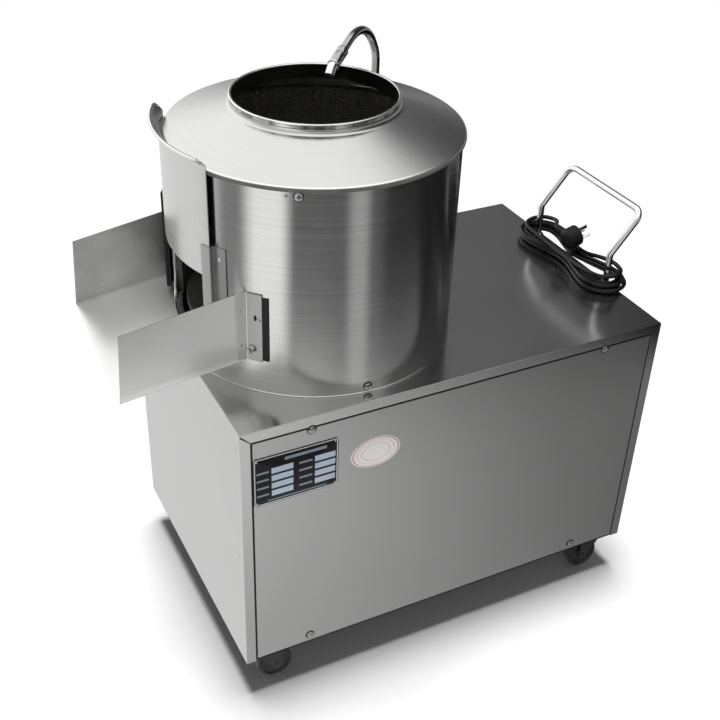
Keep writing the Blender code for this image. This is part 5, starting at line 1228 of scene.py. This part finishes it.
class PeelerLid(bpy.types.Operator):
    """Conical lid and the rolled collar of its mouth"""

    bl_idname = "peeler.lid"
    bl_label = "Lid"

    def execute(self, context):
        """The cone is a sheet with an upright neck, a rim and a skirt that sits in the drum."""
        neck, out, skirt = NECK_RADIUS, LID_RADIUS, 0.1902
        rim, skirt_end = LID_SEAT + SHEET, LID_SEAT - 0.012
        inner = rim + LID_RISE / (out - neck) * (out - skirt + SHEET) - SHEET
        outline = [
            (neck, LID_TOP + 0.0050), (neck + 0.0010, LID_TOP + 0.0050), (neck + 0.0010, LID_TOP - 0.0003),
            (out, rim), (out, rim - 0.0056), (out - SHEET, rim - 0.0056), (out - SHEET, LID_SEAT),
            (skirt, LID_SEAT), (skirt, skirt_end), (skirt - SHEET, skirt_end), (skirt - SHEET, inner),
            (neck, LID_TOP - SHEET),
        ]
        radii = [0.0, 0.0004, 0.0060, 0.0048, 0.0010, 0.0005, 0.0, 0.0005, 0.0004, 0.0004, 0.0004, 0.0]
        lid = turned("lid_cone", self.refined(rounded(outline, radii, 5)), (DRUM_X, 0.0, 0.0), steps=180)
        settle(lid, spun_steel(), ("lid",), angle=50.0)
        bead, roll, wall, bore = sizes().bead, 0.1101, 0.1079, 0.1064
        rolled = [
            (roll, COLLAR_TOP), (roll, COLLAR_TOP - 0.0035), (wall, COLLAR_TOP - 0.0035),
            (wall, LID_TOP - 0.008), (bore, LID_TOP - 0.008), (bore, COLLAR_TOP),
        ]
        edges = rounded(rolled, [bead, bead, 0.0008, 0.0003, 0.0003, bead], 6)
        collar = turned("mouth_collar", edges, (DRUM_X, 0.0, 0.0), steps=144)
        settle(collar, collar_steel(), ("lid_collar",), angle=50.0)
        return {"FINISHED"}

    def refined(self, profile):
        """The profile with extra points on its long straight runs, so that its rings stay short."""
        loop = np.concatenate([profile, profile[:1]])
        along = measured(loop)
        even = np.linspace(0.0, along[-1], 120, endpoint=False)
        return points_at(loop, along, np.unique(np.concatenate([along[:-1], even])))


class PeelerDisc(bpy.types.Operator):
    """Abrasive disc, its cap nut and the main shaft"""

    bl_idname = "peeler.disc"
    bl_label = "Disc"

    def execute(self, context):
        """The disc's top has a raised hub and three waves, which fade out toward the hub and the edge."""
        low, high = corners("abrasive_disc")
        radius, hub_edge = (high[0] - low[0]) / 2, 0.022
        top = CABINET_TOP + 0.055
        reach = [np.linspace(SHAFT_BORE, hub_edge, 4), np.linspace(0.026, radius - 0.002, 26)]
        reach = np.concatenate([*reach, [radius - 0.0006, radius]])
        angle = around(120)
        swell = (0.5 + 0.5 * np.cos(3 * angle)) ** 2
        share = np.clip((reach - hub_edge) / 0.03, 0.0, 1.0) * np.clip((radius - reach) / 0.03, 0.0, 1.0)
        hub = 1 - np.clip((reach - hub_edge) / 0.012, 0.0, 1.0)
        crown = top + 0.007 * np.maximum(hub[:, None], share[:, None] * swell[None, :])
        crown[-1] = top - 0.0012
        upper = polar(reach[:, None], angle, crown)
        under = np.array([(radius, 0.045), (0.034, 0.045), (0.034, 0.026), (SHAFT_BORE, 0.026)])
        lower = polar(under[:, :1], angle, CABINET_TOP + under[:, 1:])
        disc = surface("grit_disc", [(np.concatenate([upper, lower]), True, True)])
        settle(disc, grit(), ("abrasive_disc",), angle=50.0)
        dressed("disc_cap_nut", polished_steel(), 0.0004)
        dressed("main_shaft", machined_steel(), 0.0004)
        return {"FINISHED"}


class PeelerGate(bpy.types.Operator):
    """Sliding gate with its flared lip, and the two guides that carry it"""

    bl_idname = "peeler.gate"
    bl_label = "Gate"

    def execute(self, context):
        """The gate is a curved sheet: its profile goes up and out at the lip, whose two ends are rounded."""
        clearance, straight, lip_length, corner_radius = 0.0053, 0.150, 0.014, 0.005
        bottom = corners("gate_plate")[0][2]
        fold = bottom + straight
        middle = DRUM_RADIUS + clearance + SHEET / 2
        lip = lip_length * math.sin(math.pi / 4)
        path = [(middle, bottom), (middle, fold), (middle + lip, fold + lip)]
        path = rounded(path, [sizes().flare], 10, shut=False)
        along = measured(path)
        at_corner = along[-1] - np.array([0.0004, 0.0012, 0.0025, 0.004])
        wanted = np.unique(np.concatenate([along, np.linspace(0.0, along[-1], 40), at_corner]))
        profile = points_at(path, along, wanted)
        left = np.clip((along[-1] - wanted) / corner_radius, 0.0, 1.0)
        corner = (1 - np.sqrt(np.clip(1 - (1 - left) ** 2, 0.0, 1.0))) * corner_radius / middle
        half = GATE_HALF - corner
        angle = DISCHARGE + np.linspace(-1.0, 1.0, 73)[None, :] * half[:, None]
        grid = polar(profile[:, :1], angle, profile[:, 1:])
        plate = surface("gate_sheet", [(grid, False, False)], shut=False)
        settle(plate, gate_steel(), ("gate_plate",))
        soften(thicken(plate, SHEET, 0.0), 0.0003, angle=60.0)
        self.hem(middle, fold, lip)
        dressed("gate_guide_near", guide_steel(), 0.0003)
        # The far guide is black as painted shade
        dressed("gate_guide_far", caster_black(), 0.0003)
        self.rivets()
        self.strip()
        return {"FINISHED"}

    def hem(self, middle, fold, lip):
        """Rolled edge of the lip: a rod round the drum's axis, which drops by a square law at both ends."""
        turn = np.linspace(-0.975, 0.975, 61) * GATE_HALF
        drop = 0.004 * np.clip((np.abs(turn) - math.radians(26.6)) / math.radians(1.0), 0.0, 1.0) ** 2
        route = polar(middle + lip - drop, DISCHARGE + turn, fold + lip - 0.0012 - drop)
        rod = tube("gate_hem", route, 0.0024, (-1.0, 0.05, 0.3), 16)
        settle(rod, polished_steel(), body=BODY["gate_plate"])

    def strip(self):
        """Black strip on the far guide, over the gate's edge: a thin upright bar of painted shade."""
        radius = DRUM_RADIUS + np.array([0.0091, 0.0136])
        angle = DISCHARGE + np.radians([-30.2, -24.4])
        bar = surface("gate_seal_strip", [bar_of(radius, angle, (0.046, 0.190))])
        add_small(soften(bar, 0.0005), rubber())

    def rivets(self):
        """Two rivets through each guide's base strip."""
        angle = DISCHARGE + np.array([1.0, 1.0, -1.0, -1.0]) * math.radians(31.5)
        height = CABINET_TOP + np.array([0.062, 0.180, 0.062, 0.180])
        head = rivet_head(sizes().rivet, 0.0012)
        add_small(on_drum("guide_rivets", head, DRUM_RADIUS + GAP + 0.0015, angle, height), polished_steel())


class PeelerChute(bpy.types.Operator):
    """Discharge chute and the brackets that hold it"""

    bl_idname = "peeler.chute"
    bl_label = "Chute"

    def execute(self, context):
        grid = self.sheet(sizes().fold)
        chute = surface("chute_sheet", [(grid, False, False)], shut=False)
        settle(chute, chute_steel(), ("chute",), angle=40.0)
        chute.visible_shadow = False
        # The sheet's edges get the dark edge finish, which is painted shade
        chute.data.materials.append(shaded_cut_edge())
        soften(thicken(chute, SHEET), 0.0003, angle=60.0)
        chute.modifiers["wall"].material_offset_rim = 1
        for node in ("chute_bracket_near", "chute_bracket_far"):
            dressed(node, bracket_steel(), 0.0004)
        self.fasteners()
        return {"FINISHED"}

    def sheet(self, fold):
        """The chute's outer face.

        One parameter runs down the far wall, across the floor and up the near wall, with a quarter circle at
        each fold. The other runs from the drum's wall to the open end. The floor and the walls' tops are
        straight lines that fall away from the drum.
        """
        reach, end_floor, end_height, slope, top_slope, lean = 0.309, 0.018, 0.098, 0.17, 0.19, 0.0055
        turn = np.linspace(0.0, math.pi / 2, 7)[1:]
        floor = np.linspace(fold - CHUTE_HALF, CHUTE_HALF - fold, 22)[1:-1]
        wall = np.linspace(1.0, 0.0, 12)
        side = np.concatenate([wall * 0 - CHUTE_HALF, fold * (1 - np.cos(turn)) - CHUTE_HALF])
        folded = np.concatenate([wall * 0 + fold, fold * (1 - np.sin(turn))])
        raised = np.concatenate([wall, turn * 0])
        across = np.concatenate([side, floor, -side[::-1]])
        lift = np.concatenate([folded, floor * 0, folded[::-1]])
        up = np.concatenate([raised, floor * 0, raised[::-1]])
        along = np.linspace(0.0, 1.0, 26)[:, None]
        start = np.sqrt((DRUM_RADIUS + GAP) ** 2 - across**2)
        x = start + (reach - start) * along
        for _ in range(3):
            under = end_floor - SHEET + slope * (reach - x)
            over = end_floor + end_height + top_slope * (reach - lean - x)
            z = under + lift + up * (over - under - fold)
            share = np.clip((z - under) / (over - under), 0.0, 1.0)
            x = start + (reach - lean * share - start) * along
        return discharge(x, across, CABINET_TOP + z)

    def fasteners(self):
        """On each bracket a large and a small screw and a black oval of painted shade for a slot where it
        lies on the drum, two rivets through its leg, and a black strip of painted shade along its edge on the
        drum."""
        wall = DRUM_RADIUS + GAP
        first = math.asin((CHUTE_HALF + 0.0003) / wall)
        both = np.array([1.0, -1.0])
        for name, shape, finish, slot, degrees, height in (
            ("bracket_screws", screw_head(0.0060, 0.0036), screw_steel(), "polished_steel", 2.3, 0.065),
            ("bracket_pins", rivet_head(0.0028, 0.0016), screw_steel(), "polished_steel", 5.3, 0.110),
            # Painted shade: a black oval stands for the slot
            ("bracket_slots", self.plug(), rubber(), "black_rubber", 3.9, 0.112),
        ):
            angle = DISCHARGE + both * (first + math.radians(degrees))
            add_small(on_drum(name, shape, wall + 0.0019, angle, CABINET_TOP + height), finish)
        side = np.repeat(both, 2)
        origins = discharge(0.1515, side * 0.1322, CABINET_TOP + np.array([0.070, 0.120, 0.070, 0.120]))
        outward = discharge(0.0, side, 0.0) - discharge(0.0, 0.0, 0.0)
        rivets = joined("bracket_rivets", rivet_head(0.0026, 0.0010), origins, outward)
        add_small(rivets, bracket_steel())
        # Painted shade: black strips beside the brackets on the drum
        radius = wall + np.array([0.0, 0.0014])
        angles = [DISCHARGE + way * (first + np.radians([4.0, 9.1])) for way in both]
        shade_strips = surface("bracket_gaskets", [bar_of(radius, angle, (0.050, 0.142)) for angle in angles])
        add_small(soften(shade_strips, 0.0003), rubber())

    def plug(self):
        """Long low oval slab on z = 0, which stands for a slot as painted shade."""
        turn = around(24)
        return slab_of(np.column_stack([np.cos(turn) * 0.0042, np.sin(turn) * 0.0020]), 0.0004, 0.0002)


class PeelerPipe(bpy.types.Operator):
    """Spray pipe with its sleeve, nozzle, bracket, inlet hose and hose tail"""

    bl_idname = "peeler.pipe"
    bl_label = "Spray pipe"

    def execute(self, context):
        """The pipe goes up beside the drum, bends over the lid and slopes down to its sleeve and nozzle."""
        plane = (math.sin(PIPE_ANGLE), -math.cos(PIPE_ANGLE), 0.0)
        reach = np.array([PIPE_REACH, PIPE_REACH, 0.159, 0.059])
        points = polar(reach, PIPE_ANGLE, CABINET_TOP + np.array([-0.0165, 0.327, 0.3905, 0.356]))
        ahead = unit(points[-1] - points[-2])
        mouth = points[-1] - ahead * 0.031
        pipe_radius, bend_radii = 0.0057, [0.040, 0.075]
        path = rounded([*points[:-1], mouth + ahead * 0.010], bend_radii, 14, shut=False)
        settle(tube("spray_tube", path, pipe_radius, plane, 28), pipe_steel(), ("spray_pipe",), angle=50.0)
        nut = ring_profile(0.005, 0.013, 0.0067, 0.0002, 0.0014)
        foot = polar(PIPE_REACH, PIPE_ANGLE, CABINET_TOP + GAP)
        add_small(turned("pipe_flange_nut", nut, foot, steps=6), polished_steel())
        bore, out, groove = 0.0045, 0.0078, 0.0069
        sleeve = [(bore, 0.0), (out, 0.0), (out, 0.011), (groove, 0.0115), (groove, 0.0130), (out, 0.0135)]
        sleeve = rounded([*sleeve, (out, 0.031), (bore, 0.031)], [0, 0.0012, *[0.0002] * 4, 0.0008, 0], 3)
        settle(turned("pipe_ferrule", sleeve, mouth, ahead, 40), pipe_steel(), ("pipe_sleeve",))
        self.nozzle(points[-1], ahead, plane)
        dressed("pipe_bracket", gate_steel(), 0.0003)
        dressed("hose_tail", machined_steel(), 0.0003)
        dressed("inlet_hose", rubber(), 0.0)
        return {"FINISHED"}

    def nozzle(self, end, ahead, plane):
        """The nozzle turns down from the pipe's end, with a ring round its start."""
        drop = math.radians(48.0)
        down = polar(-math.cos(drop), PIPE_ANGLE, -math.sin(drop)) - (DRUM_X, 0.0, 0.0)
        start = end + ahead * GAP
        bend = start + ahead * 0.0065
        turn_down = rounded([start, bend, bend + down * 0.011], [0.0055], 8, shut=False)
        head = soften(tube("nozzle_head", turn_down, 0.0065, plane, 32), 0.0008)
        settle(head, chrome_plate(), ("spray_nozzle",), angle=50.0)
        bead = ring_profile(0.0060, 0.0086, 0.0034, 0.0013, 0.0013, 5)
        ring = turned("nozzle_ring", bead, start - ahead * 0.0010, ahead, 40)
        add_small(ring, chrome_plate())


class PeelerHandle(bpy.types.Operator):
    """Push handle: one bent rod on two welded feet"""

    bl_idname = "peeler.handle"
    bl_label = "Push handle"

    def execute(self, context):
        """The rod goes up from one foot, leans out to the grip, runs across and comes back the same way."""
        foot, bend, grip = CABINET_TOP + GAP, CABINET_TOP + 0.053, CABINET_TOP + 0.114
        grip_x, near, far = CABINET_X + 0.3665, -HANDLE_HALF_SPAN, HANDLE_HALF_SPAN
        points = [(HANDLE_X, near, foot), (HANDLE_X, near, bend), (grip_x, near, grip)]
        points += [(grip_x, far, grip), (HANDLE_X, far, bend), (HANDLE_X, far, foot)]
        path = rounded(points, [0.012, 0.017, 0.017, 0.012], 10, shut=False)
        rod_radius, reference = 0.005, (0.6, 0.3, -0.45)
        rod = tube("handle_rod", path, rod_radius, reference, 28)
        settle(rod, chrome_plate(), ("push_handle",), angle=60.0)
        weld = [(0.004, 0.0), (0.009, 0.0), (0.009, 0.0018), (0.0055, 0.0040), (0.004, 0.0040)]
        weld = rings_of(rounded(weld, [0, 0.0003, 0.0012, 0.001, 0], 4), 40)
        feet = joined("handle_feet", weld, [points[0], points[-1]], [UP, UP], (True, True))
        add_small(feet, chrome_plate())
        return {"FINISHED"}


class PeelerCabinet(bpy.types.Operator):
    """Cabinet shell, its panels and their screws"""

    bl_idname = "peeler.cabinet"
    bl_label = "Cabinet"

    def execute(self, context):
        dressed("cabinet_shell", cabinet_steel(), 0.0006, 3)
        for node in ("front_panel", "back_panel"):
            dressed(node, panel_steel(), 0.0005)
        radius, across, top, bottom = sizes().screw, 0.230, 0.390, 0.0164
        x = CABINET_X + np.array([-across, across, -across, across])
        z = SHELL_LOW[2] + np.array([top, top, bottom, bottom])
        for name, y, way, proud in (
            ("front_screws", FRONT_Y, -1.0, 0.0021),
            ("back_screws", BACK_Y, 1.0, 0.0002),
        ):
            origins = np.stack([x, x * 0 + y, z], axis=-1)
            heads = joined(name, screw_head(radius, proud), origins, [(0.0, way, 0.0)] * 4)
            add_small(heads, screw_steel())
        # Painted shadow: a black ring round each front screw
        origins = np.stack([x, x * 0 + FRONT_Y + 0.0001, z], axis=-1)
        ring = flat_ring(radius * 0.7, radius * 1.22, 0.0005)
        rings = joined("screw_washers", ring, origins, [TO_FRONT] * 4, (True, True))
        add_small(rings, rubber())
        self.seal()
        self.end_rivets()
        self.drum_screws()
        return {"FINISHED"}

    def seal(self):
        """Black strip of painted shade, for the shadow gap round the front panel, and a seam at each upper
        corner of the front.

        The strip is a thin rectangle carried round the panel's edge. A seam is a rod that tapers.
        """
        low, high = corners("front_panel")
        rows = []
        for out, deep in ((-0.0009, -0.0002), (0.0014, -0.0002), (0.0014, 0.0012), (-0.0009, 0.0012)):
            left, right, bottom, top = low[0] - out, high[0] + out, low[2] - out, high[2] + out
            y = low[1] + deep
            rows.append([(left, y, bottom), (right, y, bottom), (right, y, top), (left, y, top)])
        # Painted shade: the black strip stands for the gap's shadow
        add_small(surface("panel_seal", [(np.array(rows), True, True)]), rubber())
        seams = []
        inset, lap = 0.0012, 0.0004
        for start, stop in ((SHELL_LOW[0] + inset, low[0] - lap), (SHELL_HIGH[0] - inset, high[0] + lap)):
            first = np.array((start, FRONT_Y + 0.0006, CABINET_TOP - 0.0030))
            last = np.array((stop, FRONT_Y + 0.0006, high[2] + lap))
            line = first + np.linspace(0.0, 1.0, 6)[:, None] * (last - first)
            seams.append((tube_of(line, np.linspace(0.0013, 0.0008, 6), ACROSS, 10), False, True))
        add_small(surface("corner_seams", seams), rubber())

    def end_rivets(self):
        """Small rivets down both upright edges of the end at the chute."""
        y = np.repeat([FRONT_Y + 0.014, BACK_Y - 0.014], 3)
        z = np.tile(SHELL_LOW[2] + np.array([0.022, 0.200, 0.380]), 2)
        origins = np.stack([y * 0 + SHELL_LOW[0] + 0.0001, y, z], axis=-1)
        rivets = joined("end_rivets", rivet_head(0.0020, 0.0007), origins, [(-1.0, 0.0, 0.0)] * 6)
        add_small(rivets, screw_steel())

    def drum_screws(self):
        """Screws and rivets round the lid's edge, and screws at the drum's foot, each screw with a black ring
        of painted shadow.
        """
        for name, height, degrees in (
            ("lid_screws", DRUM_HIGH[2] - 0.010, (-120.3, -30.0, 60.0, 128.0)),
            ("foot_screws", DRUM_LOW[2] + 0.009, (-93.0, -3.0, 87.0, 137.0)),
        ):
            place = (DRUM_RADIUS - 0.0001, np.radians(degrees), height)
            add_small(on_drum(name, screw_head(0.0052, 0.0027), *place), screw_steel())
            # Painted shadow: a black ring round each screw
            rings = on_drum(name + "_washers", flat_ring(0.0036, 0.0062, 0.0005), *place, (True, True))
            add_small(rings, rubber())
        angle = np.radians([-124.9, -34.6, 55.4, 132.6])
        pins = on_drum("lid_rivets", rivet_head(0.0024, 0.0009), DRUM_RADIUS, angle, DRUM_HIGH[2] - 0.0105)
        add_small(pins, screw_steel())


class PeelerPlates(bpy.types.Operator):
    """Bare nameplate and blank oval label"""

    bl_idname = "peeler.plates"
    bl_label = "Plates"

    def execute(self, context):
        low, high = corners("nameplate")
        half = (high - low) / 2
        middle = (high + low) / 2
        outline = rounded(SQUARE * (half[0], half[2]), 0.004, 6)
        slab = slab_of(outline, high[1] - low[1], 0.00025)
        plate = self.upright("nameplate_face", slab, (middle[0], high[1], middle[2]))
        settle(plate, plate_face(), ("nameplate",))
        signs = np.array([(-1, 0, -1), (-1, 0, 1), (1, 0, -1), (1, 0, 1)])
        spots = np.array((middle[0], low[1], middle[2])) + signs * (half - 0.0045)
        add_small(joined("plate_rivets", rivet_head(0.0014, 0.0004), spots, [TO_FRONT] * 4), polished_steel())
        turn = around(72)
        oval = np.column_stack([np.cos(turn), np.sin(turn) * LABEL_SHARE]) * sizes().label / 2
        label = self.upright("oval_label", slab_of(oval, 0.0005, 0.0002), (LABEL_X, FRONT_Y, LABEL_Z))
        add_small(label, label_face())
        return {"FINISHED"}

    def upright(self, name, slab, place):
        """A plate that lies on Z, stood up against a face that looks to -Y."""
        points = np.stack([slab[..., 0], -slab[..., 2], slab[..., 1]], axis=-1) + np.array(place)
        return surface(name, [(points, False, True)])


class PeelerCasters(bpy.types.Operator):
    """Four swivel casters"""

    bl_idname = "peeler.casters"
    bl_label = "Casters"

    def execute(self, context):
        for corner in ("front_left", "front_right", "back_left", "back_right"):
            base = "caster_" + corner
            dressed(base + "_plate", caster_black(), 0.0005)
            dressed(base + "_fork", caster_black(), 0.0005)
            self.wheel(base)
        return {"FINISHED"}

    def wheel(self, base):
        """Tyre and hub in one profile: a rounded tread, a shallow side hollow and a raised hub."""
        low, high = corners(base + "_wheel")
        radius = (high[0] - low[0]) / 2
        face = (high[1] - low[1]) / 2
        hollow = face - 0.0022
        right = [
            (0.0033, face), (0.0085, face), (0.0100, hollow),
            (radius - 0.0080, hollow), (radius - 0.0065, face), (radius, face),
        ]
        left = [(r, -z) for r, z in right[::-1]]
        radii = [0, 0.0008, 0.0010, 0.0010, 0.0010, sizes().tyre]
        profile = rounded(right + left, radii + radii[::-1], 4)
        wheel = turned(base + "_tyre", profile, (low + high) / 2, ACROSS, 72)
        settle(wheel, tyre_rubber(), (base + "_wheel",))


class PeelerDrive(bpy.types.Operator):
    """Inner frame, bearings, belt drive and motor"""

    bl_idname = "peeler.drive"
    bl_label = "Frame and drive"

    def execute(self, context):
        finishes = {
            zinc: ("base_frame", "drive_plate", "bearing_beam"),
            machined_steel: ("upper_bearing", "lower_bearing", "motor_shaft"),
            cast_iron: ("upper_bearing_housing", "lower_bearing_housing", "main_pulley", "motor_pulley"),
            motor_paint: ("motor_fan_cover", "motor_terminal_box"),
            rubber: ("drive_belt",),
        }
        for finish, nodes in finishes.items():
            for node in nodes:
                dressed(node, finish(), 0.0005)
        self.motor()
        return {"FINISHED"}

    def motor(self):
        """Motor body with cooling fins: its radius dips between them along the straight part."""
        low, high = corners("motor_housing")
        middle = (low + high) / 2
        base, top = low[2], high[2]
        bore, flange, body = 0.0098, 0.072, 0.062
        profile = [
            (bore, base), (flange, base), (flange, base + 0.010), (body, base + 0.012), (body, base + 0.020),
            (body, base + 0.0205), (body, top - 0.006), (body, top - 0.0055), (body, top), (bore, top),
        ]
        edges = rounded(profile, [0, 0.001, 0.0015, 0.001, 0, 0, 0, 0, 0.0015, 0], 3)

        def fins(angle, height):
            """1 on a fin, and a little less between two fins, away from both ends of the body."""
            finned = (height > base + 0.0202) & (height < top - 0.0057)
            return 1 - 0.075 * finned * (np.cos(30 * angle) < -0.2)

        motor = turned("motor_body", edges, (middle[0], middle[1], 0.0), steps=240, reach=fins)
        settle(motor, motor_paint(), ("motor_housing",))


class PeelerSwitch(bpy.types.Operator):
    """Switch frame and its rocker"""

    bl_idname = "peeler.switch"
    bl_label = "Switch"

    def execute(self, context):
        dressed("switch_frame", black_plastic(), 0.0008, 3)
        dressed("switch_rocker", red_plastic(), 0.0006, 3)
        return {"FINISHED"}


STEPS = (
    PeelerStage, PeelerCord, PeelerDrum, PeelerLid, PeelerDisc, PeelerGate, PeelerChute, PeelerPipe,
    PeelerHandle, PeelerCabinet, PeelerPlates, PeelerCasters, PeelerDrive, PeelerSwitch,
)


class PeelerPanel(bpy.types.Panel):
    """Lists the machine's pieces, sizes and colours"""

    bl_idname = "VIEW3D_PT_peeler"
    bl_label = "Potato peeler machine"
    bl_space_type = "VIEW_3D"
    bl_region_type = "UI"
    bl_category = "Peeler"

    def draw(self, context):
        column = self.layout.column()
        for step in STEPS:
            column.operator(step.bl_idname)
        for group in (context.scene.peeler_sizes, context.scene.peeler_colours):
            for name in group.bl_rna.properties.keys():
                if name not in ("rna_type", "name"):
                    column.prop(group, name)


CLASSES = (PeelerSizes, PeelerColours, *STEPS, PeelerPanel)


def register():
    """Registers the classes and puts the sizes and colours on the scene."""
    for group in CLASSES:
        bpy.utils.register_class(group)
    bpy.types.Scene.peeler_sizes = bpy.props.PointerProperty(type=PeelerSizes)
    bpy.types.Scene.peeler_colours = bpy.props.PointerProperty(type=PeelerColours)


def unregister():
    """Takes the sizes, the colours and the classes away again."""
    del bpy.types.Scene.peeler_sizes
    del bpy.types.Scene.peeler_colours
    for group in reversed(CLASSES):
        bpy.utils.unregister_class(group)


def main():
    """Builds every piece."""
    register()
    for step in STEPS:
        area, name = step.bl_idname.split(".")
        getattr(getattr(bpy.ops, area), name)()


if __name__ == "__main__":
    main()
